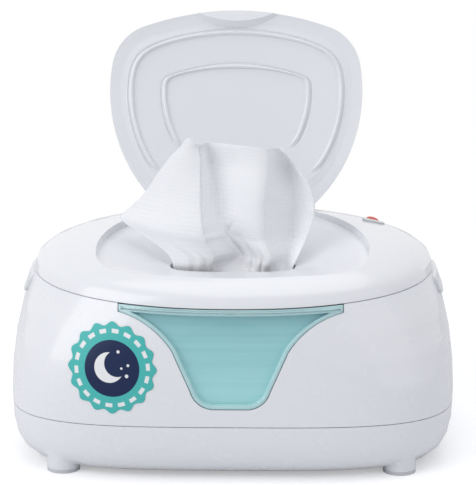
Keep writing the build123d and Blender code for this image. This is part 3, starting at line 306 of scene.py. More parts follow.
def tinted_window():
    """Tinted panel lit from behind, with its light painted in: painted shade under the ledge, painted
    light lower down, faint level streaks and a faint painted glow.
    """
    finish = Finish("window")
    vector, (_, _, z) = finish.where()
    stretched = finish.node("Mapping", None, {"Vector": vector, "Scale": (4.0, 4.0, 330.0)})
    streaks = finish.ease(finish.noise(stretched, 1.0, 2.0), 0.35, 0.65)
    # Painted shade: darker near the top, where the cover's overhang shades the panel under the ledge.
    painted_ledge_shade = finish.ease(z, 0.072, 0.091)
    # Painted light: paler lower down, where the dished panel faces up to the light.
    low = finish.ease(z, 0.075, 0.045)
    shade = finish.blend(painted_ledge_shade, (0.285, 0.585, 0.610), (0.215, 0.450, 0.490))
    shade = finish.blend(low, shade, (0.350, 0.680, 0.690))
    shade = finish.blend(streaks * 0.22 * (1 - painted_ledge_shade), shade, (0.42, 0.76, 0.77))
    edge = finish.node("SeparateXYZ", None, {0: finish.node("UVMap", {"uv_map": "cloth"})})
    shade = finish.blend(edge, shade, (0.46, 0.66, 0.68))
    sockets = {
        "Base Color": shade,
        "Roughness": finish.ease(finish.noise(vector, POLISH_SCALE), 0.3, 0.7, 0.16, 0.24),
        "Coat Weight": 0.5,
        "Coat Roughness": 0.05,
        "Subsurface Weight": 0.25,
        "Subsurface Radius": (0.002, 0.004, 0.004),
        # Painted glow: a faint emission in the panel's own colour stands in for the light behind it.
        "Emission Color": shade,
        "Emission Strength": 0.06,
        "Normal": finish.bump(streaks, 0.00005, 0.35),
    }
    return finish.done(finish.node("BsdfPrincipled", None, sockets))


def embossed_cloth():
    """Nonwoven: rows of soft square bosses, sin^2 * sin^2 over the flat cut, and fine fibres on top."""
    finish = Finish("nonwoven")
    flat = finish.node("UVMap", {"uv_map": "cloth"})
    a, b, _ = [finish.node("SeparateXYZ", None, {0: flat}, k) for k in range(3)]
    drift = finish.noise(flat, 60.0, 2.0)

    def waves(value, pitch):
        """Rows of bosses across one direction: 0 between them, 1 on top."""
        beat = finish.node("Math", {"operation": "SINE"}, {0: (value + drift * 0.004) * (math.pi / pitch)})
        return beat * beat

    small = waves(a, SMALL_BOSS) * waves(b, SMALL_BOSS)
    large = waves(a + b * 0.5, LARGE_BOSS_ACROSS) * waves(b, LARGE_BOSS_ALONG)
    patch = finish.ease(finish.noise(flat, 26.0, 1.0), 0.47, 0.58)
    stretched = finish.node("Mapping", None, {"Vector": flat, "Scale": (900.0, 350.0, 1.0)})
    fibres = finish.noise(stretched, 1.0, 4.0)
    height = small * (1 - patch) + large * patch * 1.5 + fibres * 0.5
    # Painted shade: the cloth is coloured a little darker and bluer where it lies low between the bosses.
    deep = (0.885, 0.895, 0.925)
    sockets = {
        "Base Color": finish.blend(finish.ease(height, 0.1, 0.9), deep, (0.92, 0.925, 0.935)),
        "Roughness": finish.ease(fibres, 0.3, 0.7, 0.72, 0.90),
        "Sheen Weight": 0.15,
        "Normal": finish.bump(height, 0.00016, 0.5),
    }
    return finish.done(finish.node("BsdfPrincipled", None, sockets))


def open_foam():
    """Foam: cells are painted dark in their pits as shade, between pale walls, from a fine cellular
    texture.
    """
    finish = Finish("foam")
    vector, _ = finish.where()
    cells = finish.node("TexVoronoi", None, {"Vector": vector, "Scale": 900.0})
    slow = finish.noise(vector, 40.0, 2.0)
    colour = finish.blend(slow, (0.42, 0.43, 0.45), (0.50, 0.51, 0.53))
    sockets = {
        # Painted shade: the pits of the cells are coloured dark.
        "Base Color": finish.blend(finish.ease(cells, 0.15, 0.5), (0.22, 0.22, 0.24), colour),
        "Roughness": finish.ease(slow, 0.3, 0.7, 0.88, 0.98),
        "Normal": finish.bump(cells, 0.0004, 0.8),
    }
    return finish.done(finish.node("BsdfPrincipled", None, sockets))


FINISHES = {
    "casing": moulded("casing", (0.83, 0.84, 0.87), 0.27, 0.35, drift=0.004),
    "cover": moulded("cover", (0.83, 0.84, 0.87), 0.25, 0.45, drift=0.004),
    "window": tinted_window(),
    "sticker": moulded("sticker", (0.30, 0.64, 0.66), 0.35, 0.2),
    "latch": moulded("latch", (0.80, 0.81, 0.84), 0.25, 0.4, drift=0.012),
    "spring_steel": metal("spring_steel", (0.62, 0.63, 0.66), 0.30),
    "steel": metal("steel", (0.70, 0.70, 0.72), 0.25),
    "tub": moulded("tub", (0.72, 0.73, 0.75), 0.45),
    "nonwoven": embossed_cloth(),
    "aluminium": metal("aluminium", (0.80, 0.81, 0.83), 0.35),
    "copper_foil": metal("copper_foil", (0.86, 0.45, 0.28), 0.35),
    "foam": open_foam(),
    "control_plastic": moulded("control_plastic", (0.08, 0.08, 0.09), 0.5, drift=0.08),
    "circuit_board": moulded("circuit_board", (0.03, 0.20, 0.09), 0.35, 0.3, drift=0.10),
    "clear_plastic": moulded("clear_plastic", (0.85, 0.90, 0.92), 0.15, 0.4),
    "silicone": moulded("silicone", (0.66, 0.68, 0.72), 0.6, drift=0.05),
    "foot_rubber": moulded("foot_rubber", (0.62, 0.62, 0.66), 0.7, grain=0.00005, drift=0.05),
    "button_grey": moulded("button_grey", (0.64, 0.66, 0.67), 0.4, drift=0.04),
    "indicator_red": moulded("indicator_red", (0.75, 0.10, 0.08), 0.25, 0.6),
}

# %% [markdown]
# Every part of the frame gets its finish here, by its slot. Their meshes are loose triangles,
# so two live modifiers finish them: Weld joins the triangles, and Edge Split keeps real corners sharp
# while the smooth shading rounds the rest. The vertices themselves stay as they are.

# %% Finish the frame's own parts
SHARP = math.radians(32.0)
WELD_REACH = 0.01 * MM


def smooth_part(part, finish):
    """Weld and edge-split a part's mesh live, shade it smooth and give it its finish."""
    weld = part.modifiers.new("weld", "WELD")
    weld.merge_threshold = WELD_REACH
    split = part.modifiers.new("split", "EDGE_SPLIT")
    split.split_angle = SHARP
    part.data.polygons.foreach_set("use_smooth", np.ones(len(part.data.polygons), dtype=bool))
    for place in range(len(part.data.materials)):
        part.data.materials[place] = finish


for name, part in sorted(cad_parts.items()):
    smooth_part(part, FINISHES[part.data.materials[0].name.split(".")[0]])
print("finished", len(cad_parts), "parts of the frame")

# %% [markdown]
# Every new piece is a net: a table of points with rows and columns, worked out as whole arrays, and
# four-sided faces between neighbours. A net can close on itself across its columns, its rows or both.

# %% Nets of points


def net_faces(rows, columns, loop_rows=False, loop_columns=False, start=0):
    """Corner numbers of the faces between neighbouring points of a net, as an array of fours."""
    low = np.arange(rows if loop_rows else rows - 1)
    left = np.arange(columns if loop_columns else columns - 1)
    low, left = np.meshgrid(low, left, indexing="ij")
    high, right = (low + 1) % rows, (left + 1) % columns
    corners = (low * columns + left, low * columns + right, high * columns + right, high * columns + left)
    return np.stack(corners, -1).reshape(-1, 4) + start


def build(name, points, faces, finish, body, uv=None):
    """Mesh object from an array of points in millimetres and an array of faces."""
    mesh = bpy.data.meshes.new(name)
    points = np.asarray(points, float).reshape(-1, 3) * MM
    faces = np.asarray(faces)
    mesh.vertices.add(len(points))
    mesh.vertices.foreach_set("co", points.ravel())
    mesh.loops.add(faces.size)
    mesh.loops.foreach_set("vertex_index", faces.ravel())
    mesh.polygons.add(len(faces))
    mesh.polygons.foreach_set("loop_start", np.arange(len(faces)) * faces.shape[1])
    mesh.update(calc_edges=True)
    mesh.polygons.foreach_set("use_smooth", np.ones(len(faces), dtype=bool))
    if uv is not None:
        layer = mesh.uv_layers.new(name="cloth")
        layer.data.foreach_set("uv", np.asarray(uv, float).reshape(-1, 2)[faces.ravel()].ravel())
    mesh.validate()
    mesh.materials.append(finish)
    piece = bpy.data.objects.new(name, mesh)
    bpy.context.scene.collection.objects.link(piece)
    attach(piece, body)
    return piece


def joined(piece):
    """Merge the points that a net lays on each other, such as the first ring of a disc."""
    weld = piece.modifiers.new("weld", "WELD")
    weld.merge_threshold = WELD_REACH
    return piece


def box_of(node):
    """Middle and half size of a node's box, in millimetres."""
    low, high = (np.array(corner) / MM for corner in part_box(node))
    return (low + high) / 2, (high - low) / 2


def ease_between(value, low, high):
    """Smooth step as an array."""
    share = np.clip((value - low) / (high - low), 0.0, 1.0)
    return share * share * (3 - 2 * share)


# %% [markdown]
# The whole warmer is one soft form: a curled floor, a wall that eases in and a low dome, all drawn as
# superellipses. Written once as a function of a station up the side and an angle round it, the same
# form carries the window, the badge and the lid, so they lie exactly in or on the casing.

# %% The outer form
HALF_WIDTH, HALF_DEPTH = 117.0, 84.0
WIDEST, SEAM = 35.0, 96.5
SEAM_LEAN = math.radians(3.8)
FLOOR_CURL, FLOOR_DROP = 24.0, 33.0
DRAW_WIDTH, DRAW_DEPTH, DRAW_POWER = 11.0, 3.5, 2.4
DOME_RISE, DOME_POWER = 18.5, 2.3
BASE_SQUARE, SQUARE_LOSS, SQUARE_POWER = 3.7, 1.5, 1.3


def profile(station):
    """Half width, half depth, squareness, height and lean at a station of the side profile.

    From -1 to 0 the floor curls up as a quarter of |s|^3 + |t|^3 = 1. From 0 to 1 the wall draws in
    by the 2.4th power of the height. From 1 to 2 the dome is a quarter of |s|^2.3 + |t|^2.3 = 1.
    """
    curl = np.clip(-station, 0, 1) * np.pi / 2
    wall = np.clip(station, 0, 1)
    dome = np.clip(station - 1, 0, 1) * np.pi / 2
    draw = FLOOR_CURL * (1 - np.cos(curl) ** (2 / 3))
    reach = np.clip(np.cos(dome), 0, 1) ** (2 / DOME_POWER)
    half_w = (HALF_WIDTH - draw - DRAW_WIDTH * wall ** DRAW_POWER) * reach
    half_d = (HALF_DEPTH - draw - DRAW_DEPTH * wall ** DRAW_POWER) * reach
    height = WIDEST - FLOOR_DROP * np.sin(curl) ** (2 / 3) + (SEAM - WIDEST) * wall
    height = height + DOME_RISE * np.sin(dome) ** (2 / DOME_POWER)
    return half_w, half_d, BASE_SQUARE - SQUARE_LOSS * wall ** SQUARE_POWER, height, SEAM_LEAN * wall


def shifted_profile(station, inset):
    """The profile moved in square to itself: its slope is measured over a short step of the station."""
    half_w, half_d, square, height, lean = profile(station)
    low_w, _, _, low_h, _ = profile(station - 1e-4)
    high_w, _, _, high_h, _ = profile(station + 1e-4)
    length = np.hypot(high_w - low_w, high_h - low_h)
    side, up = (high_h - low_h) / length, (low_w - high_w) / length
    return half_w - inset * side, half_d - inset * side, square, height - inset * up, lean


def front_point(x, station, inset=0.0):
    """Point of the front wall: y from |x/a|^n + |y/b|^n = 1, then leant back with its ring."""
    half_w, half_d, square, height, lean = shifted_profile(station, inset)
    y = -half_d * np.clip(1 - np.abs(x / half_w) ** square, 0, 1) ** (1 / square)
    return np.stack(np.broadcast_arrays(x, y * np.cos(lean), height + y * np.sin(lean)), -1)


def wall_station(x, z):
    """Station of the front wall at which its height is z, found by repeated correction."""
    station = (z - WIDEST) / (SEAM - WIDEST)
    for _ in range(30):
        station = station + (z - front_point(x, station)[..., 2]) / (SEAM - WIDEST)
    return station


print("front of the casing at mid height", np.round(front_point(0.0, 0.5), 2))

# %% [markdown]
# The window is a tinted moulding let into the front. Its outline runs down from a wide top in two
# S-curves to a short base. It has a pale rim, a ledge along the top and a dished panel. The outline is
# a row of arcs. The moulding is a net whose rows go down the outline and whose columns go across it.

# %% The window's outline


def arc_through(first, middle, last, count):
    """Points of the circle through three points, from the first to the last."""
    (ax, ay), (bx, by), (cx, cy) = first, middle, last
    twice = 2 * (ax * (by - cy) + bx * (cy - ay) + cx * (ay - by))
    sa, sb, sc = ax * ax + ay * ay, bx * bx + by * by, cx * cx + cy * cy
    ox = (sa * (by - cy) + sb * (cy - ay) + sc * (ay - by)) / twice
    oy = (sa * (cx - bx) + sb * (ax - cx) + sc * (bx - ax)) / twice
    radius = math.hypot(ax - ox, ay - oy)
    turns = np.unwrap([math.atan2(p[1] - oy, p[0] - ox) for p in (first, middle, last)])
    angle = np.linspace(turns[0], turns[2], count)
    return np.stack([ox + radius * np.cos(angle), oy + radius * np.sin(angle)], -1)


def window_side():
    """Right half of the outline from the seam to the base corner, evenly spaced, corner eased."""
    edge, waist, knee, sole = (57.0, 87.6), (29.3, 69.3), (20.3, 49.0), (8.5, 39.6)
    parts = [
        np.stack([np.full(12, 57.0), np.linspace(91.4, 87.6, 12)], -1),
        arc_through(edge, (39.9, 80.65), waist, 60)[1:],
        np.linspace(waist, knee, 40)[1:],
        arc_through(knee, (16.5, 42.8), sole, 30)[1:],
    ]
    line = np.concatenate(parts)
    travel = np.concatenate([[0], np.cumsum(np.linalg.norm(np.diff(line, axis=0), axis=1))])
    even = np.linspace(0, travel[-1], 150)
    line = np.stack([np.interp(even, travel, line[:, k]) for k in (0, 1)], -1)
    for _ in range(6):
        line[1:-1] = (line[:-2] + 2 * line[1:-1] + line[2:]) / 4
    return line


WINDOW_LINE = window_side()
window_step = np.gradient(WINDOW_LINE, axis=0)
window_step /= np.linalg.norm(window_step, axis=1, keepdims=True)
# Square to the outline, pointing into the window.
WINDOW_IN = np.stack([window_step[:, 1], -window_step[:, 0]], -1)
print("window outline", len(WINDOW_LINE), "points, base corner", np.round(WINDOW_LINE[-1], 2))

# %% The window moulding
# Steps across the rim, from the casing inwards: distance from the outline, depth under the surface.
RIM_STEPS = np.array([
    (0.3, 2.6), (0.3, 0.6), (0.45, 0.18), (0.8, 0.0), (1.7, 0.0), (2.05, 0.15), (2.2, 0.5), (2.4, 2.9),
])
RIM_WIDTH = 2.6
PANEL_DEPTH, PANEL_COLUMNS = 3.0, 61
BASE_COLUMNS = 25
LEDGE_LOW, LEDGE_EASE, BROW_DROP = 3.0, 0.5, 0.4
# Columns of the rim that stay outside the ledge, and those that are pale, counted from either end.
OUTER_COLUMNS, PALE_COLUMNS = 5, 7
PALE_SHARE = 0.8
WINDOW_WALL = 1.4


def make_window():
    """Net of rim, panel and rim again across, outline points down, and a strip along the base."""
    line, inward = WINDOW_LINE[:, None], WINDOW_IN[:, None]
    rim = line + inward * RIM_STEPS[None, :, :1]
    depth = np.broadcast_to(RIM_STEPS[None, :, 1], rim.shape[:2])
    edge = line[:, 0] + inward[:, 0] * RIM_WIDTH
    share = np.linspace(1, -1, PANEL_COLUMNS)[None, :]
    panel_x = edge[:, :1] * share
    panel_z = np.broadcast_to(edge[:, 1:], panel_x.shape)
    x = np.concatenate([rim[..., 0], panel_x, -rim[:, ::-1, 0]], 1)
    z = np.concatenate([rim[..., 1], panel_z, rim[:, ::-1, 1]], 1)
    inset = np.concatenate([depth, np.full(panel_x.shape, PANEL_DEPTH), depth[:, ::-1]], 1)
    wall_height = SEAM - WIDEST
    brow = 1.0 - BROW_DROP / wall_height
    station = np.minimum(wall_station(x, z), brow)
    # Near the seam the panel and the inner side of the rim come forward to make the ledge.
    ledge_start = brow - (LEDGE_LOW + LEDGE_EASE) / wall_height
    ledge = ease_between(station, ledge_start, brow - LEDGE_LOW / wall_height)
    column = np.arange(x.shape[1])
    inner = (column >= OUTER_COLUMNS) & (column < x.shape[1] - OUTER_COLUMNS)
    top = front_point(x, station, np.where(inner, inset * (1 - ledge), inset))
    columns = np.linspace(WINDOW_LINE[-1, 0], -WINDOW_LINE[-1, 0], BASE_COLUMNS)[None, :]
    strip_z = WINDOW_LINE[-1, 1] + RIM_STEPS[:, :1]
    strip_z = np.concatenate([strip_z, [[WINDOW_LINE[-1, 1] + RIM_WIDTH]]])
    strip_inset = np.concatenate([RIM_STEPS[:, 1:], [[PANEL_DEPTH]]])
    strip_x = columns + 0 * strip_z
    strip = front_point(strip_x, wall_station(strip_x, strip_z + 0 * strip_x), strip_inset + 0 * strip_x)
    rows, across = top.shape[:2]
    faces = net_faces(rows, across)
    strip_faces = net_faces(strip.shape[0], strip.shape[1], start=rows * across)[:, ::-1]
    points = np.concatenate([top.reshape(-1, 3), strip.reshape(-1, 3)])
    rim_columns = (column < PALE_COLUMNS) | (column >= x.shape[1] - PALE_COLUMNS)
    pale = np.maximum(np.where(rim_columns, PALE_SHARE, 0.0) + 0 * x, ledge)
    strip_pale = np.zeros(strip.shape[:2])
    strip_pale[:PALE_COLUMNS] = PALE_SHARE
    pale = np.concatenate([pale.ravel(), strip_pale.ravel()])
    faces = np.concatenate([faces, strip_faces])
    uv = np.stack([pale, pale], -1)
    piece = build("window_moulding", points, faces, FINISHES["window"], "base", uv)
    joined(piece)
    wall = piece.modifiers.new("wall", "SOLIDIFY")
    wall.thickness = WINDOW_WALL * MM
    wall.offset = -1.0
    print("window moulding", rows, "by", across)
    return piece


window = make_window()
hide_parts("front_window")

# %% [markdown]
# The badge is a printed sticker with a scalloped edge. It lies on the curved casing, so its net is a
# disc of rings that is laid on the front wall point by point. Its print is generic: a night sky with
# a moon on a dark disc, and a ring of dashes. The print reads the sticker's own flat UV map.

# %% The badge
BADGE_X, BADGE_HEIGHT, BADGE_RADIUS = -59.6, 60.0, 23.0
BADGE_LOBES, BADGE_SCALLOP = 16, 1.9
BADGE_TURN = math.radians(9.0)
BADGE_SHEET = 60.0
# Radii of the dark disc and of the ring of dashes, then the moon's two circles and the dots.
DISC_RADIUS, DASH_IN, DASH_OUT, DASHES = 14.2, 17.6, 19.6, 18
MOON_FACE, MOON_SHADE = (-1.5, 0.5, 7.6), (2.6, 2.6, 6.6)
DOTS = ((7.6, -3.4, 0.9), (8.3, 2.0, 0.7), (3.2, 8.6, 0.8), (4.9, 0.4, 0.6))


def badge_print():
    """Teal ring with white dashes, dark disc with a crescent and dots, from flat UV coordinates."""
    finish = Finish("badge_print")
    vector, _ = finish.where()
    flat = finish.node("UVMap", {"uv_map": "cloth"})
    a, b, _ = [finish.node("SeparateXYZ", None, {0: flat}, k) for k in range(3)]
    a, b = (a - 0.5) * BADGE_SHEET, (b - 0.5) * BADGE_SHEET

    def disc(x, y, radius):
        """1 inside a circle, 0 outside, with a thin soft edge."""
        return finish.ease(((a - x) * (a - x) + (b - y) * (b - y)) ** 0.5, radius + 0.15, radius - 0.15)

    angle = finish.node("Math", {"operation": "ARCTAN2"}, {0: b, 1: a})
    beat = finish.node("Math", {"operation": "SINE"}, {0: angle * DASHES})
    ring = disc(0, 0, DASH_OUT) * (1 - disc(0, 0, DASH_IN)) * finish.ease(beat, -0.35, 0.05)
    colour = finish.blend(disc(0, 0, DISC_RADIUS), (0.075, 0.50, 0.47), (0.008, 0.020, 0.075))
    white = disc(*MOON_FACE) * (1 - disc(*MOON_SHADE)) + ring
    for dot in DOTS:
        white = white + disc(*dot)
    colour = finish.blend(white, colour, (0.86, 0.87, 0.88))
    sockets = {
        "Base Color": colour,
        "Roughness": finish.ease(finish.noise(vector, 120.0), 0.3, 0.7, 0.30, 0.42),
        "Specular IOR Level": 0.25,
        "Normal": finish.bump(finish.noise(vector, 500.0), 0.00003, 0.2),
    }
    return finish.done(finish.node("BsdfPrincipled", None, sockets))


def make_badge():
    """Rings of a scalloped disc, radius = share * (R - s * (1 - cos(16 t)) / 2), laid on the wall."""
    angle = np.linspace(0, 2 * np.pi, 384, endpoint=False)[None, :]
    share = np.concatenate([np.linspace(0.0, 0.97, 20), [0.988, 0.996, 1.0, 1.0]])[:, None]
    inset = np.concatenate([np.full(20, -0.38), [-0.36, -0.30, -0.20, -0.04]])[:, None]
    edge = BADGE_RADIUS - BADGE_SCALLOP * (1 - np.cos(BADGE_LOBES * angle)) / 2
    a, b = share * edge * np.cos(angle), share * edge * np.sin(angle)
    x, z = BADGE_X + a * math.cos(BADGE_TURN), BADGE_HEIGHT + b
    points = front_point(x, wall_station(x, z), inset + 0 * x)
    uv = np.stack([a / BADGE_SHEET + 0.5, b / BADGE_SHEET + 0.5], -1)
    faces = net_faces(*x.shape, loop_columns=True)[:, ::-1]
    return joined(build("badge_print", points, faces, badge_print(), "base", uv))


badge = make_badge()
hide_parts("badge_sticker")
print("badge", [round(v, 4) for v in badge.dimensions])

# %% [markdown]
# The flip lid's inner plate carries two bead ribs that run round it like rounded horseshoes. The
# plate follows the dome from below. Its net runs out from the middle in rings, and rings crowd
# together at each rib, so a half-round bead costs few points. It is worked out closed and turned open.

# %% The flip lid's inner plate
LID_MIDDLE = -20.0
LID_OPEN = math.radians(-111.8)
HINGE_Y, HINGE_Z = 47.0, 112.9616
RIBS = ((30.3, 9.0, 18.0), (11.9, 23.0, 12.0))
RIB_HALF, RIB_HIGH = 1.2, 1.35
GROOVE_MIDDLE, GROOVE_HALF, GROOVE_DEEP = 1.85, 0.45, 0.6
GROOVE_STEPS = GROOVE_MIDDLE + np.linspace(-0.5, 0.7, 7)
PLATE_INSET, PLATE_FACE = 6.0, 3.4
LID_ARCS = ((-16.7, -20.5, 87.0), (16.7, -20.5, 87.0), (0.0, 85.0, 150.0))
LID_REAR = 43.5
# The front edge is hollowed by a circle, for a finger.
HOLLOW_Y, HOLLOW_RADIUS = -110.3, 54.4
RIB_GAP = 0.25
INSIDE_RINGS, BETWEEN_RINGS, OUTSIDE_RINGS = 20, 10, 8
TAPER_DEEP, TAPER_WIDE = 0.72, 5.0


def lid_reach(angle, inset, power):
    """Distance from the lid's middle to its outline, drawn in: arcs blended by a power mean."""
    c, s = np.cos(angle), np.sin(angle)
    total = np.zeros_like(angle)
    for x, y, radius in LID_ARCS:
        y = y - LID_MIDDLE
        along = x * c + y * s
        reach = along + np.sqrt(along ** 2 - (x * x + y * y - (radius - inset) ** 2))
        total = total + reach ** -power
    rear = (LID_REAR - inset - LID_MIDDLE) / np.maximum(s, 1e-3)
    return (total + rear ** -power) ** (-1 / power)


def dome_under(x, y, inset):
    """Point under the dome at a plan place: height less the inset over the slope's cosine."""
    top_w, top_d, square = HALF_WIDTH - DRAW_WIDTH, HALF_DEPTH - DRAW_DEPTH, BASE_SQUARE - SQUARE_LOSS

    def height(x, y):
        share = (np.abs(x / top_w) ** square + np.abs(y / top_d) ** square) ** (1 / square)
        rise = np.clip(1 - share ** DOME_POWER, 0, 1) ** (1 / DOME_POWER)
        return SEAM + y * np.tan(SEAM_LEAN) + DOME_RISE * rise

    step = 0.05
    slope_x = (height(x + step, y) - height(x - step, y)) / (2 * step)
    slope_y = (height(x, y + step) - height(x, y - step)) / (2 * step)
    drop = inset * np.sqrt(1 + slope_x ** 2 + slope_y ** 2)
    return np.stack(np.broadcast_arrays(x, y, height(x, y) - drop), -1)


def swung_open(points):
    """Turn points about the flip lid's hinge line, from closed to open."""
    y, z = points[..., 1] - HINGE_Y, points[..., 2] - HINGE_Z
    out = points.copy()
    out[..., 1] = HINGE_Y + y * math.cos(LID_OPEN) - z * math.sin(LID_OPEN)
    out[..., 2] = HINGE_Z + y * math.sin(LID_OPEN) + z * math.cos(LID_OPEN)
    return out


def make_lid_plate():
    """Rings of the plate with beads: height = h * sqrt(1 - (d / w)^2), faded at the rib's ends."""
    angle = np.linspace(0, 2 * np.pi, 400, endpoint=False)[None, :]
    edge = lid_reach(angle, PLATE_INSET, 16.0)
    s = np.minimum(np.sin(angle), -1e-3)
    along = (HOLLOW_Y - LID_MIDDLE) * s
    under = along ** 2 - (HOLLOW_Y - LID_MIDDLE) ** 2 + HOLLOW_RADIUS ** 2
    hollow = np.where(under > 0, along - np.sqrt(np.maximum(under, 0)), 1e9)
    edge = np.where((np.sin(angle) < 0) & (hollow > 0), np.minimum(edge, hollow), edge)
    (inset_2, stop_2, power_2), (inset_1, stop_1, power_1) = RIBS
    second, first = lid_reach(angle, inset_2, power_2), lid_reach(angle, inset_1, power_1)
    bead = np.sin(np.linspace(-np.pi / 2, np.pi / 2, 13)) * RIB_HALF
    across = np.concatenate([bead, GROOVE_STEPS])[:, None]
    count = len(across)
    last = across[-1] + RIB_GAP
    before = RIB_HALF + RIB_GAP
    rings = np.concatenate([
        np.linspace(0, 1, INSIDE_RINGS)[:, None] * (second - before),
        second + across,
        (second + last) + np.linspace(0, 1, BETWEEN_RINGS)[:, None] * (first - second - last - before),
        first + across,
        (first + last) + np.linspace(0, 1, OUTSIDE_RINGS)[:, None] * (edge - 0.5 - first - last),
        edge - 0.15,
        edge,
        edge,
    ])
    x, y = rings * np.cos(angle), LID_MIDDLE + rings * np.sin(angle)
    ridge = RIB_HIGH * np.sqrt(np.clip(1 - (across / RIB_HALF) ** 2, 0, 1))
    ridge = ridge - GROOVE_DEEP * np.exp(-((across - GROOVE_MIDDLE) / GROOVE_HALF) ** 2)
    high = np.zeros_like(rings)
    inner = slice(INSIDE_RINGS, INSIDE_RINGS + count)
    outer = slice(inner.stop + BETWEEN_RINGS, inner.stop + BETWEEN_RINGS + count)
    high[inner] = ridge * ease_between(y[inner], stop_2 + 2, stop_2 - 3)
    high[outer] = ridge * ease_between(y[outer], stop_1 + 2, stop_1 - 3)
    rest = slice(outer.stop, None)
    high[rest] -= TAPER_DEEP * (1 - ease_between((edge - rings)[rest], 0.0, TAPER_WIDE))
    high[-1] -= 0.4
    points = swung_open(dome_under(x, y, PLATE_FACE + high))
    faces = net_faces(*rings.shape, loop_columns=True)[:, ::-1]
    print("lid plate", rings.shape[0], "rings of", rings.shape[1])
    return joined(build("lid_inner_plate", points, faces, FINISHES["cover"], "flip_lid"))


lid_plate = make_lid_plate()
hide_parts("flip_lid_liner")

# %% [markdown]
# The wipe is a cut of embossed nonwoven cloth, pulled up through the slot and let go. It is gathered in
# the slot, fans out above it and falls into two deep folds. Simulation would give a different fall each
# time the cloth changes, so the fan is drawn as a sheet between its left and right edges, and the
# folds are pushed back into it where the cloth really gathers.

# %% The wipe
# Rows from the pad in the tub up through the slot to the free edge: share, then left and right edge.
WIPE_ROWS = np.array([
    (-1.00, -72.0, 42.0, 76.9, 72.0, 42.0, 76.9),
    (-0.60, -60.0, -6.0, 77.3, 60.0, -6.0, 77.3),
    (-0.48, -38.0, -17.0, 78.6, 38.0, -17.0, 78.6),
    (-0.38, -29.0, -20.0, 83.0, 29.0, -20.0, 83.0),
    (-0.20, -30.0, -20.5, 92.0, 30.5, -20.5, 92.0),
    (0.00, -31.5, -21.0, 99.9, 32.0, -21.0, 99.9),
    (0.05, -32.6, -19.0, 104.0, 33.5, -20.0, 102.2),
    (0.11, -43.0, -12.0, 110.0, 35.0, -17.5, 104.6),
    (0.20, -62.5, 6.0, 118.2, 38.0, -11.0, 109.2),
    (0.36, -55.5, 6.0, 124.3, 43.0, -3.0, 120.9),
    (0.50, -47.5, 4.0, 132.5, 43.2, 0.0, 129.6),
    (0.64, -41.8, 2.0, 141.8, 40.7, 1.0, 137.6),
    (0.84, -33.0, 0.0, 154.0, 34.0, 2.0, 147.5),
    (0.95, -28.0, -1.0, 158.6, 29.0, 0.0, 153.6),
    (1.00, -24.0, -2.0, 159.9, 25.9, -2.0, 156.8),
])
# Left and right side of the two folds, as shares of the width, up the rows.
FOLD_ROWS = np.array([-1.0, -0.3, 0.0, 0.08, 0.20, 0.36, 0.50, 0.64, 0.84, 1.0])
FOLD_ONE = np.array([
    (0.30, 0.30, 0.32, 0.383, 0.475, 0.396, 0.336, 0.300, 0.239, 0.14),
    (0.54, 0.54, 0.54, 0.575, 0.610, 0.500, 0.435, 0.390, 0.315, 0.22),
])
FOLD_TWO = np.array([
    (0.78, 0.78, 0.80, 0.800, 0.795, 0.733, 0.702, 0.709, 0.758, 0.83),
    (0.93, 0.93, 0.94, 0.930, 0.925, 0.885, 0.880, 0.885, 0.935, 0.97),
])
# Small creases that run up from the slot: share of the width, half width, depth, row where it ends.
CREASES = (
    (0.17, 0.030, 1.6, 0.16),
    (0.27, 0.020, 1.2, 0.10),
    (0.585, 0.016, 2.2, 0.40),
    (0.66, 0.022, 2.8, 0.30),
    (0.735, 0.016, 1.6, 0.18),
)
# Rows and depth places of the middle line that the cloth leans to.
MIDDLE_ROWS = (-1, -0.60, -0.48, -0.38, 0, 0.3, 1)
MIDDLE_Y = (42, -6, -17, -20, -24, -20, -3)
FOLD_DEEP = (13.5, 13.0)
# Flat size in metres. It is fitted to the area of the cloth drawn here, and isn't a wipe's real cut.
WIPE_CUT = (0.140, 0.156)
WIPE_THICK = 0.45


def softened(table, rows, turns=5):
    """Columns of a table read at the rows, then averaged with their neighbours to round the kinks."""
    out = np.stack([np.interp(rows, table[:, 0], table[:, k]) for k in range(1, table.shape[1])], -1)
    for _ in range(turns):
        out[1:-1] = (out[:-2] + 2 * out[1:-1] + out[2:]) / 4
    return out


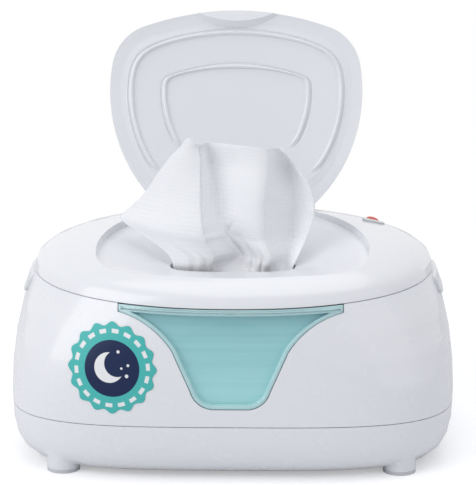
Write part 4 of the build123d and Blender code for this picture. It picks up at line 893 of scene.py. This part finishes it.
def make_wipe():
    """Sheet between two edges: linear across, leaning to a middle line, with folds pushed back."""
    rows, columns = 150, 190
    v = np.linspace(-1, 1, rows)[:, None]
    u = np.linspace(0, 1, columns)[None, :]
    edge = softened(WIPE_ROWS, v[:, 0])
    left, right = edge[:, None, :3], edge[:, None, 3:]
    place = left * (1 - u[..., None]) + right * u[..., None]
    middle = np.interp(v, MIDDLE_ROWS, MIDDLE_Y)
    lean_left = (left[..., 1] - middle) * np.clip(1 - 2.2 * u, 0, 1) ** 1.5
    lean_right = (right[..., 1] - middle) * np.clip(2.2 * u - 1.2, 0, 1) ** 1.5
    place[..., 1] = middle + lean_left + lean_right
    place[..., 2] += 3.9 * np.exp(-(u / 0.065) ** 2) * ease_between(v, 0.93, 1.0)
    place[..., 2] += 1.4 * np.sin(np.pi * u) ** 0.5 * ease_between(v, 0.8, 1.0)
    low_one, high_one = (np.interp(v, FOLD_ROWS, side) for side in FOLD_ONE)
    low_two, high_two = (np.interp(v, FOLD_ROWS, side) for side in FOLD_TWO)
    one = np.clip((u - low_one) / (high_one - low_one), 0, 1)
    two = np.clip((u - low_two) / (high_two - low_two), 0, 1)
    bulge = np.clip((u - high_one) / (low_two - high_one), 0, 1)
    flap = np.clip((u - high_two) / (1.0 - high_two), 0, 1)
    panel = np.clip(u / low_one, 0, 1)
    above = ease_between(v, -0.3, 0.03)
    fade = 1 - 0.55 * ease_between(v, 0.78, 1.02)
    push = FOLD_DEEP[0] * np.where(one < 1, np.sin(np.pi / 2 * one), 1 - ease_between(bulge, 0, 1)) * fade
    fold_two = np.where(two < 1, np.sin(np.pi / 2 * two), 1 - ease_between(flap, 0, 1))
    push = push + FOLD_DEEP[1] * fold_two * fade
    push = push - 2.0 * np.sin(np.pi * bulge) * fade
    push = push - 2.5 * np.sin(np.pi * panel) * fade
    for where_u, narrow, deep, top in CREASES:
        push = push + deep * np.exp(-((u - where_u) / narrow) ** 2) * ease_between(-v, -top, 0.0)
    push = push + 0.7 * np.sin(11 * u + 5 * v) * np.sin(8 * v - 4 * u)
    place[..., 1] += push * above
    uv = np.stack([u * WIPE_CUT[0] + 0 * v, (v + 1) / 2 * WIPE_CUT[1] + 0 * u], -1)
    faces = net_faces(rows, columns)
    piece = build("wipe_cloth", place, faces, FINISHES["nonwoven"], "top_cover", uv)
    wall = piece.modifiers.new("cloth", "SOLIDIFY")
    wall.thickness = WIPE_THICK * MM
    wall.offset = 0.0
    step_u = np.linalg.norm(np.diff(place, axis=1), axis=-1)[:-1]
    step_v = np.linalg.norm(np.diff(place, axis=0), axis=-1)[:, :-1]
    print("wipe cloth about", round(float((step_u * step_v).sum()) / 1e6, 4), "square metres")
    return piece


wipe = make_wipe()
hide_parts("wipe")
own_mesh(wipe)

# %% [markdown]
# Under the slot lies the pad of folded wipes. Each wipe is a soft layer, so the side of the pile is a
# row of rounded edges that are never quite in line, and the top one is creased where it is folded. The
# foam pad under the heater is plainer: a soft slab with rounded edges and two holes. Both are nets of
# rings round a rounded rectangle, laid from the bottom's middle up the side to the top's middle.

# %% The pile of wipes
PILE_LAYERS, LAYER_STEPS = 14, 8
PILE_SIDES, PILE_RINGS, PILE_CORNER = 240, 26, 26.0


def rounded_ring(half_w, half_d, corner, angle):
    """Plan point at an angle on a rectangle whose corners are rounded by an |x|^n + |y|^n = 1 curve."""
    c, s = np.cos(angle), np.sin(angle)
    power = 2.0 * np.maximum(half_w, half_d) / corner
    reach = (np.abs(c / half_w) ** power + np.abs(s / half_d) ** power) ** (-1 / power)
    return reach * c, reach * s


def make_pile():
    """Radius shrinks by |sin| between layers; the top rises by slow waves and dips along its fold."""
    (middle_x, middle_y, middle_z), (half_w, half_d, half_z) = box_of("wipe_stack")
    floor, tall = middle_z - half_z, 2 * half_z
    angle = np.linspace(0, 2 * np.pi, PILE_SIDES, endpoint=False)[None, :]
    climb = np.linspace(0, 1, PILE_LAYERS * LAYER_STEPS + 1)[:, None]
    layer = np.abs(np.sin(np.pi * PILE_LAYERS * climb)) ** 0.5
    shift = 0.5 * np.sin(9.0 * climb * PILE_LAYERS + 2 * angle) * layer
    inset = 0.6 + 1.5 * (1 - layer) + shift * 0.6 + 3.0 * ease_between(climb, 0.94, 1.0) ** 2
    ring_x, ring_y = rounded_ring(half_w - inset, half_d - inset, PILE_CORNER, angle)
    share = np.linspace(0, 1, PILE_RINGS)[:, None]
    bottom_x, bottom_y = ring_x[:1] * share, ring_y[:1] * share
    top_x, top_y = ring_x[-1:] * share[::-1], ring_y[-1:] * share[::-1]
    wave = 0.8 * np.sin(top_x / 23 + 0.6) * np.sin(top_y / 17) * ease_between(share[::-1], 1.0, 0.7)
    dip = 1.0 * np.exp(-((top_y + 4.0) / 2.5) ** 2) * ease_between(share[::-1], 1.0, 0.9)
    top_z = floor + tall - 1.0 + wave - dip
    x = middle_x + np.concatenate([bottom_x[:-1], ring_x, top_x[1:]])
    y = middle_y + np.concatenate([bottom_y[:-1], ring_y, top_y[1:]])
    side_z = floor + climb * (tall - 1.0) + 0 * ring_x
    z = np.concatenate([np.full(bottom_x[:-1].shape, floor), side_z, top_z[1:]])
    points = np.stack([x, y, z], -1)
    uv = np.stack([(x + z) * MM, (y + z) * MM], -1)
    faces = net_faces(*x.shape, loop_columns=True)
    print("pile of", PILE_LAYERS, "folds,", round(tall, 1), "mm high")
    return joined(build("wipe_pile", points, faces, FINISHES["nonwoven"], "base", uv))


pile = make_pile()
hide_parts("wipe_stack")

# %% The foam pad under the heater
FOAM_HOLES = ((20.0, 0.0, 7.0), (-20.0, 0.0, 4.5))
FOAM_SIDES, FOAM_RINGS, FOAM_CORNER, FOAM_BULGE = 160, 12, 20.0, 1.6
PLUG_SIDES, PLUG_LOW, PLUG_HIGH = 48, -50.0, 150.0


def make_foam():
    """Slab whose side is a half round: r = R - b * (1 - cos t) and z = h * sin t. Holes come later."""
    (_, _, middle_z), (half_w, half_d, half_z) = box_of("insulation_pad")
    angle = np.linspace(0, 2 * np.pi, FOAM_SIDES, endpoint=False)[None, :]
    lean = np.linspace(-np.pi / 2, np.pi / 2, 15)[:, None]
    bulge = FOAM_BULGE * (1 - np.cos(lean))
    side_x, side_y = rounded_ring(half_w - bulge, half_d - bulge, FOAM_CORNER, angle)
    side_z = middle_z + half_z * np.sin(lean) + 0 * side_x
    share = np.linspace(0, 1, FOAM_RINGS)[:, None]
    x = np.concatenate([side_x[:1] * share[:-1], side_x, side_x[-1:] * share[::-1][1:]])
    y = np.concatenate([side_y[:1] * share[:-1], side_y, side_y[-1:] * share[::-1][1:]])
    flat = (FOAM_RINGS - 1, 1)
    z = np.concatenate([np.tile(side_z[:1], flat), side_z, np.tile(side_z[-1:], flat)])
    faces = net_faces(*x.shape, loop_columns=True)
    return joined(build("foam_pad", np.stack([x, y, z], -1), faces, FINISHES["foam"], "base"))


def punch(piece, x, y, radius):
    """Cut a round hole through a piece with a hidden plug, then apply the cut."""
    angle = np.linspace(0, 2 * np.pi, PLUG_SIDES, endpoint=False)
    ring = np.stack([x + radius * np.cos(angle), y + radius * np.sin(angle)], -1)
    mesh = bpy.data.meshes.new("plug")
    heights = np.repeat([PLUG_LOW, PLUG_HIGH], PLUG_SIDES)
    points = np.concatenate([np.concatenate([ring, ring]), heights[:, None]], 1) * MM
    sides = net_faces(2, PLUG_SIDES, loop_columns=True).tolist()
    caps = [list(range(PLUG_SIDES))[::-1], list(range(PLUG_SIDES, 2 * PLUG_SIDES))]
    mesh.from_pydata(points.tolist(), [], sides + caps)
    plug_piece = bpy.data.objects.new("plug", mesh)
    bpy.context.scene.collection.objects.link(plug_piece)
    cut = piece.modifiers.new("hole", "BOOLEAN")
    cut.object = plug_piece
    cut.solver = "EXACT"
    bpy.context.view_layer.update()
    shaped = bpy.data.meshes.new_from_object(piece.evaluated_get(bpy.context.evaluated_depsgraph_get()))
    piece.modifiers.clear()
    piece.data = shaped
    bpy.data.objects.remove(plug_piece)


foam = make_foam()
for hole in FOAM_HOLES:
    punch(foam, *hole)
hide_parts("insulation_pad")
print("foam pad", [round(v, 4) for v in foam.dimensions])

# %% [markdown]
# The indicator is a small red lens behind the button. A lens like this is moulded with a domed
# face, so that its light is seen from the front as well as from above.

# %% The indicator lens
LENS_RISE, LENS_SKIRT, LENS_SIDES = 1.5, 2.0, 96


def make_lens():
    """Stadium plan in rings; height over the cover is rise * sqrt(1 - r^2), sunk at the edge."""
    (middle_x, middle_y, _), (half_w, half_d, _) = box_of("indicator_lens")
    angle = np.linspace(0, 2 * np.pi, LENS_SIDES, endpoint=False)[None, :]
    share = np.sin(np.linspace(0, np.pi / 2, 14))[:, None]
    c, s = np.cos(angle), np.sin(angle)
    shift = (half_w - half_d) * np.tanh(4 * c)
    x, y = middle_x + share * (half_d * c + shift), middle_y + share * half_d * s
    points = dome_under(x, y, -LENS_RISE * np.sqrt(np.clip(1 - share ** 2, 0, 1)) - 0.05)
    net = np.concatenate([points, points[-1:] - np.array([0.0, 0.0, LENS_SKIRT])])
    faces = net_faces(len(net), LENS_SIDES, loop_columns=True)[:, ::-1]
    finish = FINISHES["indicator_red"]
    return joined(build("indicator_dome", net, faces, finish, "top_cover"))


lens = make_lens()
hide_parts("indicator_lens")
print("lens", [round(v, 4) for v in lens.dimensions])
